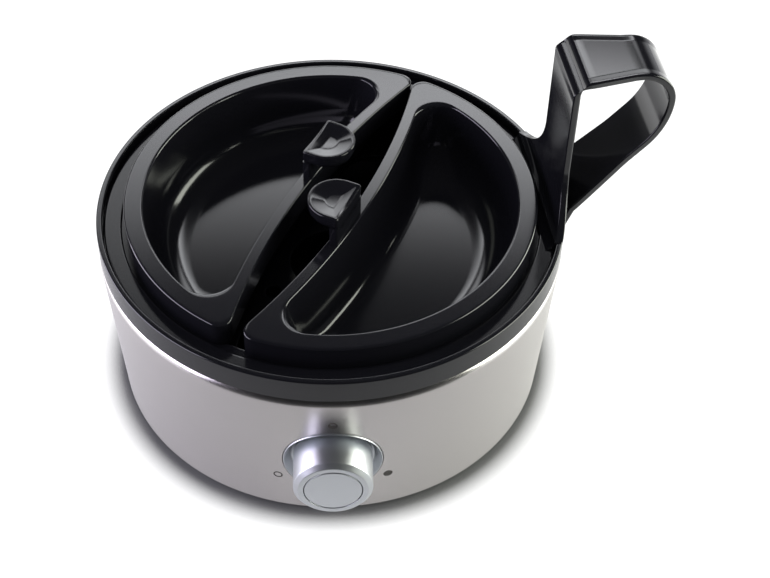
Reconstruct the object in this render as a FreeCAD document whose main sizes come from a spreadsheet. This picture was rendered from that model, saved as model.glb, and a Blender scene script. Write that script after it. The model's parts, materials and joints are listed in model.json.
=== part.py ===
import FreeCAD, Part
import math
import os

import Sketcher
from FreeCAD import Placement, Rotation, Vector

# A round electric egg cooker with a lift-out carrier and two poaching pans.
# Millimetres. +Z is up, the knob faces -Y, and the origin is on the drum's axis
# at the surface that the cooker stands on.

SIZES = {
    # Drum
    "foot_height": 3.0,
    "drum_radius": 85.0,
    "drum_taper": 3.7,
    "sleeve_height": 64.0,
    "sleeve_wall": 0.8,
    "shoulder_radius": 3.2,
    "sleeve_lip_width": 3.5,
    "rim_height": 9.5,
    "fit_gap": 0.3,
    "cut_overrun": 2.0,
    # Collar
    "collar_set_in": 0.3,
    "collar_lip_width": 2.1,
    "collar_ledge_depth": 6.2,
    "collar_skirt_depth": 7.0,
    "collar_skirt_wall": 2.0,
    "collar_edge_radius": 0.8,
    "dish_ledge_width": 2.6,
    "dish_ledge_height": 2.0,
    # Heating dish and its seal
    "dish_seal_height": 1.0,
    "dish_wall": 0.8,
    "dish_step_share": 0.656,
    "dish_step_width": 13.5,
    "dish_bowl_slope": 7.0,
    "dish_floor_share": 0.453,
    # Heater under the dish
    "spreader_inset": 5.0,
    "spreader_height": 2.5,
    "element_ring_share": 0.8,
    "element_tube_radius": 3.5,
    "element_gap_angle": 40.0,
    "terminal_radius": 1.6,
    "terminal_length": 6.0,
    "thermostat_radius": 7.5,
    "thermostat_height": 7.0,
    "strap_end": 4.0,
    "strap_width": 9.0,
    "strap_height": 1.0,
    "strap_stud_radius": 2.0,
    "strap_stud_share": 0.6,
    "fuse_radius": 2.0,
    "fuse_length": 14.0,
    "fuse_share": 0.4,
    # Base
    "base_height": 2.0,
    "base_rim_height": 4.0,
    "base_rim_wall": 1.2,
    "foot_width": 9.0,
    "foot_inset": 1.2,
    "shield_overhang": 4.0,
    "shield_sheet": 0.8,
    "shield_height_share": 0.571,
    "shield_rim": 3.0,
    "post_radius": 3.6,
    "post_inset": 10.0,
    "post_bearing": 30.0,
    "screw_radius": 1.5,
    "screw_head_radius": 2.9,
    "screw_head_height": 1.6,
    "screw_end_gap": 2.0,
    "running_gap": 0.05,
    "rod_radius": 1.1,
    "rod_bearing": 45.0,
    # Knob
    "knob_height_share": 0.447,
    "knob_reach": 10.0,
    "knob_radius": 13.8,
    "knob_chamfer": 1.6,
    "knob_wall": 1.6,
    "knob_back_gap": 1.0,
    "knob_cap_depth": 4.2,
    "knob_web": 2.0,
    "bezel_radius": 17.7,
    "bezel_rim": 0.5,
    "bezel_throat_radius": 14.8,
    "bezel_depth": 6.6,
    "bezel_floor_wall": 1.2,
    "bezel_proud": 0.35,
    "hub_radius": 4.4,
    "button_radius": 10.0,
    "button_gap": 0.25,
    "button_height": 2.6,
    "button_travel": 1.5,
    "stem_radius": 1.6,
    "stem_bore_gap": 0.08,
    "spring_radius": 2.4,
    "spring_wire_radius": 0.4,
    "spring_length": 4.8,
    "spring_turns": 3.0,
    "spring_well_wall": 1.2,
    # Selector and control board behind the knob
    "selector_width": 20.0,
    "selector_depth": 9.2,
    "board_sheet": 1.6,
    "board_edge_gap": 0.97,
    "buzzer_gap": 1.7,
    "board_top_gap": 1.2,
    "board_part_depth": 6.5,
    "board_foot_width": 6.0,
    "board_foot_depth": 5.0,
    "board_foot_overlap": 7.0,
    "board_foot_gap": 4.2,
    "board_screw_radius": 1.1,
    "board_screw_length": 5.0,
    "relay_width": 13.0,
    "relay_height": 16.0,
    "coil_width": 12.0,
    "coil_height": 12.0,
    "capacitor_radius": 3.4,
    "buzzer_radius": 5.0,
    "buzzer_height": 4.5,
    "switch_width": 4.6,
    "switch_depth": 1.2,
    # Mains side at the back
    "gland_height": 16.0,
    "gland_radius": 5.0,
    "gland_flange_radius": 7.0,
    "gland_flange_height": 1.8,
    "gland_bore_radius": 3.4,
    "gland_inner_length": 6.0,
    "block_width": 26.0,
    "block_depth": 12.0,
    "block_height": 10.0,
    "block_gap": 2.0,
    "lead_radius": 1.0,
    "lead_bend_share": 0.5,
    "lead_rise_share": 0.4,
    "lead_back_share": 0.98,
    "lead_bow_share": 0.8,
    "lead_corner_share": 0.72,
    "lead_side_share": 1.06,
    # Carrier
    "carrier_gap": 0.4,
    "carrier_set_down": 3.2,
    "carrier_rim_width": 6.2,
    "carrier_seat_depth": 1.5,
    "carrier_seat_width": 4.2,
    "carrier_wall": 1.8,
    "carrier_lift": 1.0,
    "carrier_floor": 2.0,
    "egg_seat_radius": 15.5,
    "egg_edge": 9.3,
    "steam_hole_radius": 3.0,
    "steam_circle_share": 0.5745,
    "steam_bearing": 30.0,
    "carrier_edge_radius": 0.7,
    # Handle
    "handle_bearing": 7.0,
    "handle_rise": 58.2,
    "strap_thickness": 2.6,
    "strap_half_width": 14.0,
    "strap_end_half_width": 11.5,
    "strap_corner_radius": 3.8,
    "strap_overhang": 33.9,
    "strap_bend_radius": 12.0,
    "strap_return_radius": 28.5,
    "strap_return_angle": 41.2,
    "strap_root_gap": 1.6,
    "taper_start_gap": 3.0,
    "taper_end_gap": 19.0,
    "flare_radius": 20.0,
    "flare_half_angle": 23.0,
    "handle_foot_width": 3.2,
    "handle_foot_rise": 3.4,
    "root_drop": 6.0,
    "root_proud": 1.0,
    "root_rise": 8.0,
    # Poaching pans
    "pan_gap": 1.45,
    "pan_flange_rise": 5.0,
    "pan_flange_sheet": 2.2,
    "pan_flange_width": 6.9,
    "pan_inner_flange_width": 4.7,
    "pan_skirt_wall": 2.0,
    "pan_bow_rise": 9.78,
    "pan_half_gap": 10.0,
    "pan_corner_radius": 4.5,
    "pan_bearing": 63.3,
    "pan_turn": 0.88,
    "well_depth": 26.0,
    "well_wall": 1.8,
    "well_corner_radius": 10.0,
    "well_draft": 4.0,
    "well_bottom_round": 9.0,
    "well_low_share": 1.3,
    "well_bend_share": 0.35,
    "well_draft_share": 0.6,
    "well_turn_share": 0.3,
    "well_bow_share": 0.55,
    "well_corner_share": 0.15,
    "grip_start": 3.0,
    "grip_length": 20.3,
    "grip_depth": 15.2,
    "grip_height": 12.6,
    "grip_set_back": 1.3,
    "grip_web": 3.4,
    "cup_height": 7.0,
    "cup_wall": 1.3,
    "cup_depth": 5.0,
    "cup_inner_round": 3.0,
    "cup_outer_round": 4.5,
}

# Places closer than this are the same place
SAME = 1e-4

doc = FreeCAD.newDocument("egg_cooker")
sheet = doc.addObject("Spreadsheet::Sheet", "Sizes")
for row, (name, number) in enumerate(SIZES.items(), 1):
    sheet.set(f"A{row}", name)
    sheet.set(f"B{row}", str(number))
    sheet.setAlias(f"B{row}", name)
doc.recompute()

parts = []


class Length:
    """A number together with the sheet formula that gives it."""

    def __init__(self, value, formula):
        self.value = value
        self.formula = formula

    def __add__(self, other):
        other = length(other)
        return Length(self.value + other.value, f"({self.formula} + {other.formula})")

    def __sub__(self, other):
        other = length(other)
        return Length(self.value - other.value, f"({self.formula} - {other.formula})")

    def __mul__(self, other):
        other = length(other)
        return Length(self.value * other.value, f"({self.formula} * {other.formula})")

    def __truediv__(self, other):
        other = length(other)
        return Length(self.value / other.value, f"({self.formula} / {other.formula})")

    def __rsub__(self, other):
        return length(other) - self

    def __neg__(self):
        return self * -1

    __radd__ = __add__
    __rmul__ = __mul__


def length(item):
    """A plain number as a Length, and a Length as it is."""
    return item if isinstance(item, Length) else Length(float(item), repr(float(item)))


def root(item):
    """The square root of a Length."""
    return Length(math.sqrt(item.value), f"sqrt({item.formula})")


def cosine(angle):
    """The cosine of an angle in degrees."""
    return Length(math.cos(math.radians(angle.value)), f"cos({angle.formula} * 1 deg)")


def sine(angle):
    """The sine of an angle in degrees."""
    return Length(math.sin(math.radians(angle.value)), f"sin({angle.formula} * 1 deg)")


def arcsine(item):
    """The angle in degrees whose sine is a Length."""
    return Length(math.degrees(math.asin(item.value)), f"(asin({item.formula}) / 1 deg)")


class Sheet:
    """Every named size of the sheet as a Length."""

    def __getattr__(self, name):
        return Length(SIZES[name], "Sizes." + name)


S = Sheet()

# Heights and radii that several pieces share
sleeve_top = S.foot_height + S.sleeve_height
rim_top = sleeve_top + S.rim_height
ledge_top = rim_top - S.collar_ledge_depth
drum_foot = S.drum_radius - S.drum_taper
base_top = S.foot_height + S.base_height
base_radius = drum_foot - S.sleeve_wall - S.fit_gap
collar_radius = S.drum_radius - S.collar_set_in
collar_mouth = collar_radius - S.collar_lip_width
skirt_outer = S.drum_radius - S.sleeve_lip_width - S.fit_gap
skirt_bottom = sleeve_top - S.collar_skirt_depth

dish_ledge_top = skirt_bottom + S.dish_ledge_height
dish_flange_bottom = dish_ledge_top + S.dish_seal_height
dish_flange_radius = skirt_outer - S.collar_skirt_wall - S.fit_gap
dish_mouth = dish_flange_radius - S.dish_ledge_width - S.dish_wall
dish_step = S.foot_height + S.sleeve_height * S.dish_step_share
dish_floor = S.foot_height + S.sleeve_height * S.dish_floor_share
dish_bowl_radius = dish_mouth - S.dish_step_width
dish_floor_radius = dish_bowl_radius - S.dish_bowl_slope

spreader_radius = dish_floor_radius - S.spreader_inset
spreader_bottom = dish_floor - S.spreader_height
element_ring = spreader_radius * S.element_ring_share
pin_height = spreader_bottom - S.element_tube_radius
shield_radius = spreader_radius + S.shield_overhang
element_bottom = pin_height - S.element_tube_radius
shield_bottom = base_top + (element_bottom - base_top) * S.shield_height_share

knob_height = S.foot_height + S.sleeve_height * S.knob_height_share
knob_front = S.drum_radius + S.knob_reach
bezel_floor = S.drum_radius - S.bezel_depth
selector_front = bezel_floor - S.bezel_floor_wall
board_front = selector_front - S.selector_depth

carrier_radius = collar_mouth - S.carrier_gap
carrier_recess = carrier_radius - S.carrier_rim_width
carrier_top = rim_top - S.carrier_set_down
carrier_seat = carrier_top - S.carrier_seat_depth
carrier_inside = carrier_recess - S.carrier_seat_width
strap_centre = carrier_radius + S.strap_thickness / 2
pan_radius = carrier_recess - S.pan_gap
pan_bow = (pan_radius * pan_radius + S.pan_bow_rise * S.pan_bow_rise) / (S.pan_bow_rise * 2)
flange_top = rim_top + S.pan_flange_rise


def bind(thing, prop, item):
    """Ties a property to its sheet formula."""
    thing.setExpression(prop, item.formula)


def place(thing, x=0, y=0, z=0, turn=None, axis=Vector(0, 0, 1)):
    """Puts a sub-part at x, y, z, turned about an axis, all tied to the sheet."""
    angle = length(turn if turn is not None else 0)
    spot = Vector(length(x).value, length(y).value, length(z).value)
    thing.Placement = Placement(spot, Rotation(axis, angle.value))
    for key, item in (("x", x), ("y", y), ("z", z)):
        if isinstance(item, Length):
            bind(thing, "Placement.Base." + key, item)
    if isinstance(turn, Length):
        bind(thing, "Placement.Rotation.Angle", turn)


def keep(thing, label):
    """Names a finished sub-part and lists it for writing."""
    thing.Label = label
    parts.append(thing)
    return thing


def new_body(name):
    return doc.addObject("PartDesign::Body", name)


def sketch_on(body, name, role, offset=None):
    """A sketch on one of the body's own origin planes, lifted by offset."""
    plane = [item for item in body.Origin.OriginFeatures if item.Role == role][0]
    sketch = body.newObject("Sketcher::SketchObject", name)
    sketch.AttachmentSupport = [(plane, "")]
    sketch.MapMode = "FlatFace"
    if offset is not None:
        sketch.AttachmentOffset = Placement(Vector(0, 0, offset.value), Rotation())
        bind(sketch, "AttachmentOffset.Base.z", offset)
    return sketch


def fix_point(sketch, index, end, x, y):
    """Ties one end of a line or arc to x and y."""
    for kind, item in (("DistanceX", length(x)), ("DistanceY", length(y))):
        rule = Sketcher.Constraint(kind, -1, 1, index, end, item.value)
        number = sketch.addConstraint(rule)
        sketch.setExpression(f"Constraints[{number}]", item.formula)


def fix_radius(sketch, index, radius):
    """Gives a circle or an arc its radius by formula."""
    number = sketch.addConstraint(Sketcher.Constraint("Radius", index, radius.value))
    sketch.setExpression(f"Constraints[{number}]", radius.formula)


def outline(sketch, points):
    """A closed outline of straight lines through points."""
    first = sketch.GeometryCount
    corners = [Vector(length(x).value, length(y).value, 0) for x, y in points]
    count = len(corners)
    for step in range(count):
        line = Part.LineSegment(corners[step], corners[(step + 1) % count])
        sketch.addGeometry(line, False)
    for step in range(count):
        following = first + (step + 1) % count
        sketch.addConstraint(Sketcher.Constraint("Coincident", first + step, 2, following, 1))
    for step, (x, y) in enumerate(points):
        fix_point(sketch, first + step, 1, x, y)


def circle(sketch, radius, x=0, y=0):
    """A full circle with its centre at x and y."""
    spot = Vector(length(x).value, length(y).value, 0)
    index = sketch.addGeometry(Part.Circle(spot, Vector(0, 0, 1), radius.value), False)
    fix_point(sketch, index, 3, x, y)
    fix_radius(sketch, index, radius)


def revolve(body, name, points, half_angle=None):
    """Turns an outline of radius and height about Z, or only half_angle each way."""
    profile = sketch_on(body, name + "_profile", "XZ_Plane")
    outline(profile, points)
    feature = body.newObject("PartDesign::Revolution", name)
    feature.Profile = profile
    feature.ReferenceAxis = (profile, ["V_Axis"])
    if half_angle is None:
        feature.Angle = 360
    else:
        feature.Midplane = True
        feature.Angle = 2 * half_angle.value
        bind(feature, "Angle", half_angle * 2)
    doc.recompute()
    return feature


def pad(body, name, profile, height):
    """Raises a sketch along its own normal."""
    feature = body.newObject("PartDesign::Pad", name)
    feature.Profile = profile
    feature.Length = height.value
    bind(feature, "Length", height)
    doc.recompute()
    return feature


def pocket(body, name, profile, reverse=False, depth=None):
    """Cuts a sketch away, right through or to a depth, and checks that it cut."""
    before = body.Tip.Shape.Volume
    feature = body.newObject("PartDesign::Pocket", name)
    feature.Profile = profile
    feature.Reversed = reverse
    if depth is None:
        feature.Type = "ThroughAll"
    else:
        feature.Length = depth.value
        bind(feature, "Length", depth)
    doc.recompute()
    if feature.Shape.Volume >= before:
        raise RuntimeError(name + " cut nothing")
    return feature


def ring_edges(shape, rings):
    """Names of the circular edges about Z with the radii and heights in rings."""
    names = []
    for number, edge in enumerate(shape.Edges, 1):
        curve = edge.Curve
        if not isinstance(curve, Part.Circle):
            continue
        for radius, height in rings:
            same_radius = abs(curve.Radius - radius.value) < SAME
            same_height = abs(curve.Center.z - height.value) < SAME
            if same_radius and same_height:
                names.append(f"Edge{number}")
    return names


def level_edges(shape, height, before=None):
    """Names of the edges that lie flat at one height, or only those before a line in Y."""
    names = []
    for number, edge in enumerate(shape.Edges, 1):
        low = edge.BoundBox.ZMin - height.value
        high = edge.BoundBox.ZMax - height.value
        level = max(abs(low), abs(high)) < SAME
        if level and (before is None or edge.CenterOfMass.y < before.value - SAME):
            names.append(f"Edge{number}")
    return names


def round_off(body, name, radius, names):
    """Rounds the named edges of the body."""
    if not names:
        raise RuntimeError(name + " found no edge")
    base = body.Tip
    feature = body.newObject("PartDesign::Fillet", name)
    feature.Base = (base, names)
    feature.Radius = radius.value
    bind(feature, "Radius", radius)
    doc.recompute()
    return feature


def turned_part(label, points):
    """A whole sub-part turned about the drum's axis."""
    body = new_body(label)
    revolve(body, label + "_turn", points)
    return keep(body, label)


def knob_part(label, points):
    """A sub-part turned about the knob's axis: heights run outwards from the drum's axis."""
    body = turned_part(label, points)
    place(body, z=knob_height, turn=length(90), axis=Vector(1, 0, 0))
    return body


def block(name, low, across, deep, high):
    """A plain block with its low corner at low."""
    thing = doc.addObject("Part::Box", name)
    for prop, item in (("Length", across), ("Width", deep), ("Height", high)):
        setattr(thing, prop, length(item).value)
        bind(thing, prop, length(item))
    place(thing, *low)
    return thing


def rod(name, radius, height, low, turn=None, axis=Vector(0, 0, 1)):
    """A plain round rod that starts at low."""
    thing = doc.addObject("Part::Cylinder", name)
    thing.Radius = radius.value
    thing.Height = length(height).value
    bind(thing, "Radius", radius)
    bind(thing, "Height", length(height))
    place(thing, *low, turn=turn, axis=axis)
    return thing


def joined(label, shapes):
    """Several solids fused into one sub-part."""
    thing = doc.addObject("Part::MultiFuse", label)
    thing.Shapes = shapes
    doc.recompute()
    return keep(thing, label)


def grouped(label, shapes):
    """Separate like solids that share one sub-part."""
    thing = doc.addObject("Part::Compound", label)
    thing.Links = shapes
    doc.recompute()
    return keep(thing, label)


def cut(label, base, tool):
    """One solid with another taken out of it."""
    thing = doc.addObject("Part::Cut", label)
    thing.Base = base
    thing.Tool = tool
    doc.recompute()
    return thing


def round_spots(circle_radius, count, start=0):
    """Evenly spaced places on a circle about the drum's axis."""
    spots = []
    for number in range(count):
        bearing = start + length(360 * number / count)
        spots.append((circle_radius * cosine(bearing), circle_radius * sine(bearing)))
    return spots


def make_body_sleeve():
    """Brushed sheet drum, slightly tapered, with a rounded shoulder and a turned-in lip."""
    inner_top = S.drum_radius - S.sleeve_wall
    lip = S.drum_radius - S.sleeve_lip_width
    under_lip = sleeve_top - S.sleeve_wall
    body = turned_part("body_sleeve", [
        (drum_foot, S.foot_height),
        (S.drum_radius, sleeve_top),
        (lip, sleeve_top),
        (lip, under_lip),
        (inner_top, under_lip),
        (drum_foot - S.sleeve_wall, S.foot_height),
    ])
    shoulder = ring_edges(body.Tip.Shape, [(S.drum_radius, sleeve_top)])
    round_off(body, "sleeve_shoulder", S.shoulder_radius, shoulder)
    inside = ring_edges(body.Tip.Shape, [(inner_top, under_lip)])
    round_off(body, "sleeve_inside", S.shoulder_radius - S.sleeve_wall, inside)
    front = sketch_on(body, "knob_hole", "XZ_Plane")
    circle(front, S.bezel_radius + S.running_gap, 0, knob_height)
    pocket(body, "knob_hole_cut", front, reverse=True)
    back = sketch_on(body, "cord_hole", "XZ_Plane")
    circle(back, S.gland_radius + S.running_gap, 0, S.gland_height)
    pocket(body, "cord_hole_cut", back)


def make_collar():
    """Black ring: outer face, lip, carrier ledge, and a skirt down inside the drum."""
    skirt_inner = skirt_outer - S.collar_skirt_wall
    dish_hole = skirt_inner - S.fit_gap - S.dish_ledge_width
    body = turned_part("collar", [
        (collar_radius, sleeve_top),
        (collar_radius, rim_top),
        (collar_mouth, rim_top),
        (collar_mouth, ledge_top),
        (skirt_inner, ledge_top),
        (skirt_inner, dish_ledge_top),
        (dish_hole, dish_ledge_top),
        (dish_hole, skirt_bottom),
        (skirt_outer, skirt_bottom),
        (skirt_outer, sleeve_top),
    ])
    edges = ring_edges(body.Tip.Shape, [(collar_radius, rim_top), (collar_mouth, rim_top)])
    round_off(body, "collar_edge", S.collar_edge_radius, edges)


def make_dish():
    """Water dish: rolled flange, wide upper wall for the carrier, narrower bowl below."""
    wall = S.dish_wall
    turned_part("heating_dish", [
        (dish_flange_radius, dish_flange_bottom),
        (dish_flange_radius, dish_flange_bottom + wall),
        (dish_mouth, dish_flange_bottom + wall),
        (dish_mouth, dish_step),
        (dish_bowl_radius - wall, dish_step),
        (dish_floor_radius, dish_floor + wall),
        (0, dish_floor + wall),
        (0, dish_floor),
        (dish_floor_radius + wall, dish_floor),
        (dish_bowl_radius, dish_step - wall),
        (dish_mouth + wall, dish_step - wall),
        (dish_mouth + wall, dish_flange_bottom),
    ])
    turned_part("dish_seal", [
        (dish_flange_radius, dish_ledge_top),
        (dish_flange_radius, dish_flange_bottom),
        (dish_mouth + wall + S.fit_gap, dish_flange_bottom),
        (dish_mouth + wall + S.fit_gap, dish_ledge_top),
    ])


def make_heater():
    """Spreader plate, open element ring with two pins, thermostat, its strap and a fuse."""
    turned_part("heat_spreader", [
        (0, spreader_bottom),
        (spreader_radius, spreader_bottom),
        (spreader_radius, dish_floor),
        (0, dish_floor),
    ])
    ring = doc.addObject("Part::Torus", "heating_element")
    for prop, item in (
        ("Radius1", element_ring),
        ("Radius2", S.element_tube_radius),
        ("Angle3", 360 - S.element_gap_angle),
    ):
        setattr(ring, prop, length(item).value)
        bind(ring, prop, length(item))
    place(ring, z=pin_height, turn=S.element_gap_angle / 2 - 90)
    keep(ring, "heating_element")
    pins = []
    for side in (-1, 1):
        pin = new_body("terminal_pin")
        end = sketch_on(pin, "terminal_end", "XZ_Plane")
        circle(end, S.terminal_radius, element_ring, pin_height)
        feature = pad(pin, "terminal_length", end, S.terminal_length)
        feature.Reversed = side < 0
        place(pin, turn=S.element_gap_angle * side / 2 - 90)
        pins.append(pin)
    grouped("element_terminals", pins)
    rod_low = spreader_bottom - S.thermostat_height
    keep(rod("thermostat", S.thermostat_radius, S.thermostat_height, (0, 0, rod_low)), "thermostat")
    strap_low = rod_low - S.strap_height
    stud_x = element_ring * S.strap_stud_share
    half = stud_x + S.strap_end
    bar = block("strap_bar", (-half, -(S.strap_width / 2), strap_low),
                half * 2, S.strap_width, S.strap_height)
    studs = []
    for side in (-1, 1):
        stud_height = spreader_bottom - rod_low
        studs.append(rod("strap_stud", S.strap_stud_radius, stud_height,
                         (stud_x * side, 0, rod_low)))
    joined("thermostat_strap", [bar] + studs)
    fuse = rod("thermal_fuse", S.fuse_radius, S.fuse_length,
               (-(S.fuse_length / 2), element_ring * S.fuse_share, spreader_bottom - S.fuse_radius),
               turn=length(90), axis=Vector(0, 1, 0))
    keep(fuse, "thermal_fuse")


def make_base():
    """Foot ring, base plate, heat shield on posts with screws, and the tie rods."""
    foot_outer = base_radius - S.foot_inset
    turned_part("foot_ring", [
        (foot_outer - S.foot_width, 0),
        (foot_outer, 0),
        (foot_outer, S.foot_height),
        (foot_outer - S.foot_width, S.foot_height),
    ])
    inner = base_radius - S.base_rim_wall
    body = turned_part("base_plate", [
        (0, S.foot_height),
        (base_radius, S.foot_height),
        (base_radius, base_top + S.base_rim_height),
        (inner, base_top + S.base_rim_height),
        (inner, base_top),
        (0, base_top),
    ])
    spots = round_spots(shield_radius - S.post_inset, 3, S.post_bearing)
    holes = sketch_on(body, "screw_holes", "XY_Plane")
    for x, y in spots:
        circle(holes, S.screw_radius + S.running_gap, x, y)
    pocket(body, "screw_holes_cut", holes, reverse=True)
    rim = shield_radius
    turned_part("heat_shield", [
        (0, shield_bottom),
        (rim, shield_bottom),
        (rim, shield_bottom + S.shield_rim),
        (rim - S.shield_sheet, shield_bottom + S.shield_rim),
        (rim - S.shield_sheet, shield_bottom + S.shield_sheet),
        (0, shield_bottom + S.shield_sheet),
    ])
    post_height = shield_bottom - base_top
    shank_length = shield_bottom - S.foot_height - S.screw_end_gap
    posts = []
    screws = []
    for number, (x, y) in enumerate(spots):
        post = rod("post", S.post_radius, post_height, (x, y, base_top))
        bore = rod("post_bore", S.screw_radius + S.running_gap, post_height, (x, y, base_top))
        posts.append(cut(f"post_{number}", post, bore))
        head_low = S.foot_height - S.screw_head_height
        head = rod("screw_head", S.screw_head_radius, S.screw_head_height, (x, y, head_low))
        shank = rod("screw_shank", S.screw_radius, shank_length, (x, y, S.foot_height))
        screw = doc.addObject("Part::MultiFuse", f"screw_{number}")
        screw.Shapes = [head, shank]
        screws.append(screw)
    grouped("shield_posts", posts)
    grouped("base_screws", screws)
    rods = []
    for x, y in round_spots(inner - S.rod_radius - S.running_gap, 4, S.rod_bearing):
        rods.append(rod("tie_rod", S.rod_radius, skirt_bottom - base_top, (x, y, base_top)))
    grouped("tie_rods", rods)


def make_mains_side():
    """Cord gland seated on the curved back wall, terminal block, and the leads."""
    wall = wall_radius(S.gland_height)
    inside = wall - S.gland_inner_length
    outside = wall + S.gland_flange_height
    back = dict(turn=length(-90), axis=Vector(1, 0, 0))
    disc = rod("gland_disc", S.gland_flange_radius, S.gland_inner_length + S.gland_flange_height,
               (0, inside, S.gland_height), **back)
    flange = cut("gland_flange", disc, drum_skin("gland_seat", length(0)))
    barrel = rod("gland_barrel", S.gland_radius, S.gland_inner_length + S.gland_flange_height,
                 (0, inside, S.gland_height), **back)
    solid = doc.addObject("Part::MultiFuse", "gland_solid")
    solid.Shapes = [flange, barrel]
    bore = rod("gland_bore", S.gland_bore_radius, outside - inside + S.cut_overrun * 2,
               (0, inside - S.cut_overrun, S.gland_height), **back)
    keep(cut("cord_gland", solid, bore), "cord_gland")
    front = inside - S.block_gap - S.block_depth
    keep(block("terminal_block", (-(S.block_width / 2), front, base_top),
               S.block_width, S.block_depth, S.block_height), "terminal_block")
    make_leads(front)


def wall_radius(height):
    """Outer radius of the tapered drum at a height above the table."""
    share = (height - S.foot_height) / S.sleeve_height
    return drum_foot + (S.drum_radius - drum_foot) * share


def drum_skin(name, proud):
    """A solid cone that the drum's outer face fits, larger all round by proud."""
    skin = doc.addObject("Part::Cone", name)
    for prop, item in (
        ("Radius1", drum_foot + proud),
        ("Radius2", S.drum_radius + proud),
        ("Height", S.sleeve_height),
    ):
        setattr(skin, prop, item.value)
        bind(skin, prop, item)
    place(skin, z=S.foot_height)
    return skin


def lead_path(points, bend):
    """A wire of straight runs joined by tangent arcs of one radius."""
    edges = []
    start = points[0]
    for before, corner, after in zip(points, points[1:], points[2:]):
        back = (before - corner).normalize()
        ahead = (after - corner).normalize()
        half = back.getAngle(ahead) / 2
        run = bend / math.tan(half)
        first = corner + back * run
        last = corner + ahead * run
        middle = (back + ahead).normalize()
        centre = corner + middle * (bend / math.sin(half))
        edges.append(Part.LineSegment(start, first).toShape())
        edges.append(Part.Arc(first, centre - middle * bend, last).toShape())
        start = last
    edges.append(Part.LineSegment(start, points[-1]).toShape())
    return Part.Wire(edges)


def make_leads(block_front):
    """Two insulated leads from the terminal block round the shield to the element pins."""
    solids = []
    gap = S.lead_radius + S.fit_gap
    low = (base_top + gap).value
    radius = S.lead_radius.value
    outer = (shield_radius + S.post_radius).value
    bow = outer * S.lead_bow_share.value
    corner = outer * S.lead_corner_share.value
    half_gap = S.element_gap_angle / 2
    tip_run = S.terminal_length + S.fit_gap
    tip_x = (element_ring * sine(half_gap) - tip_run * cosine(half_gap)).value
    tip_y = -(element_ring * cosine(half_gap) + tip_run * sine(half_gap)).value
    slope = math.tan(math.radians(half_gap.value))
    bend = tip_x * S.lead_bend_share.value
    rise_x = tip_x * S.lead_rise_share.value
    for side in (-1, 1):
        points = [
            Vector(side * radius * 4, block_front.value, low + radius * 2),
            Vector(side * radius * 4, outer * S.lead_back_share.value, low + radius * 2),
            Vector(side * bow, corner, low),
            Vector(side * outer * S.lead_side_share.value, 0, low),
            Vector(side * bow, -corner, low),
            Vector(side * rise_x, -outer, low),
            Vector(side * rise_x, -outer, pin_height.value),
            Vector(side * rise_x, tip_y - (tip_x - rise_x) * slope, pin_height.value),
            Vector(side * tip_x, tip_y, pin_height.value),
        ]
        path = lead_path(points, bend)
        ring = Part.Wire([Part.Circle(points[0], points[1] - points[0], radius).toShape()])
        solids.append(path.makePipeShell([ring], True, False, 2))
    leads = doc.addObject("Part::Feature", "lead_wires")
    leads.Shape = Part.makeCompound(solids)
    keep(leads, "lead_wires")


def make_knob():
    """Bezel sunk in the drum, knob sleeve with its hub, push button with stem and spring."""
    hub_hole = S.hub_radius + S.running_gap
    front = S.drum_radius + S.bezel_proud
    ring = new_body("bezel_ring")
    revolve(ring, "bezel_turn", [
        (hub_hole, selector_front),
        (S.bezel_radius, selector_front),
        (S.bezel_radius, front),
        (S.bezel_radius - S.bezel_rim, front),
        (S.bezel_throat_radius, bezel_floor),
        (hub_hole, bezel_floor),
    ])
    place(ring, z=knob_height, turn=length(90), axis=Vector(1, 0, 0))
    bezel = doc.addObject("Part::Common", "knob_bezel")
    bezel.Base = ring
    bezel.Tool = drum_skin("bezel_skin", S.bezel_proud)
    keep(bezel, "knob_bezel")

    bore = S.button_radius + S.button_gap
    cap_floor = knob_front - S.knob_cap_depth
    inner = S.knob_radius - S.knob_wall
    knob_back = bezel_floor + S.knob_back_gap
    web_back = cap_floor - S.knob_web
    hub_back = board_front + S.switch_depth + S.fit_gap
    stem_hole = S.stem_radius + S.stem_bore_gap
    spring_hole = S.hub_radius - S.spring_well_wall
    spring_seat = cap_floor - S.spring_length
    knob_part("knob", [
        (stem_hole, hub_back),
        (S.hub_radius, hub_back),
        (S.hub_radius, web_back),
        (inner, web_back),
        (inner, knob_back),
        (S.knob_radius, knob_back),
        (S.knob_radius, knob_front - S.knob_chamfer),
        (S.knob_radius - S.knob_chamfer, knob_front),
        (bore, knob_front),
        (bore, cap_floor),
        (spring_hole, cap_floor),
        (spring_hole, spring_seat),
        (stem_hole, spring_seat),
    ])
    stem_back = board_front + S.switch_depth + S.button_travel + S.running_gap
    button_back = knob_front - S.button_height
    knob_part("start_button", [
        (0, stem_back),
        (S.stem_radius, stem_back),
        (S.stem_radius, button_back),
        (S.button_radius, button_back),
        (S.button_radius, knob_front),
        (0, knob_front),
    ])
    make_spring(spring_seat)


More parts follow.
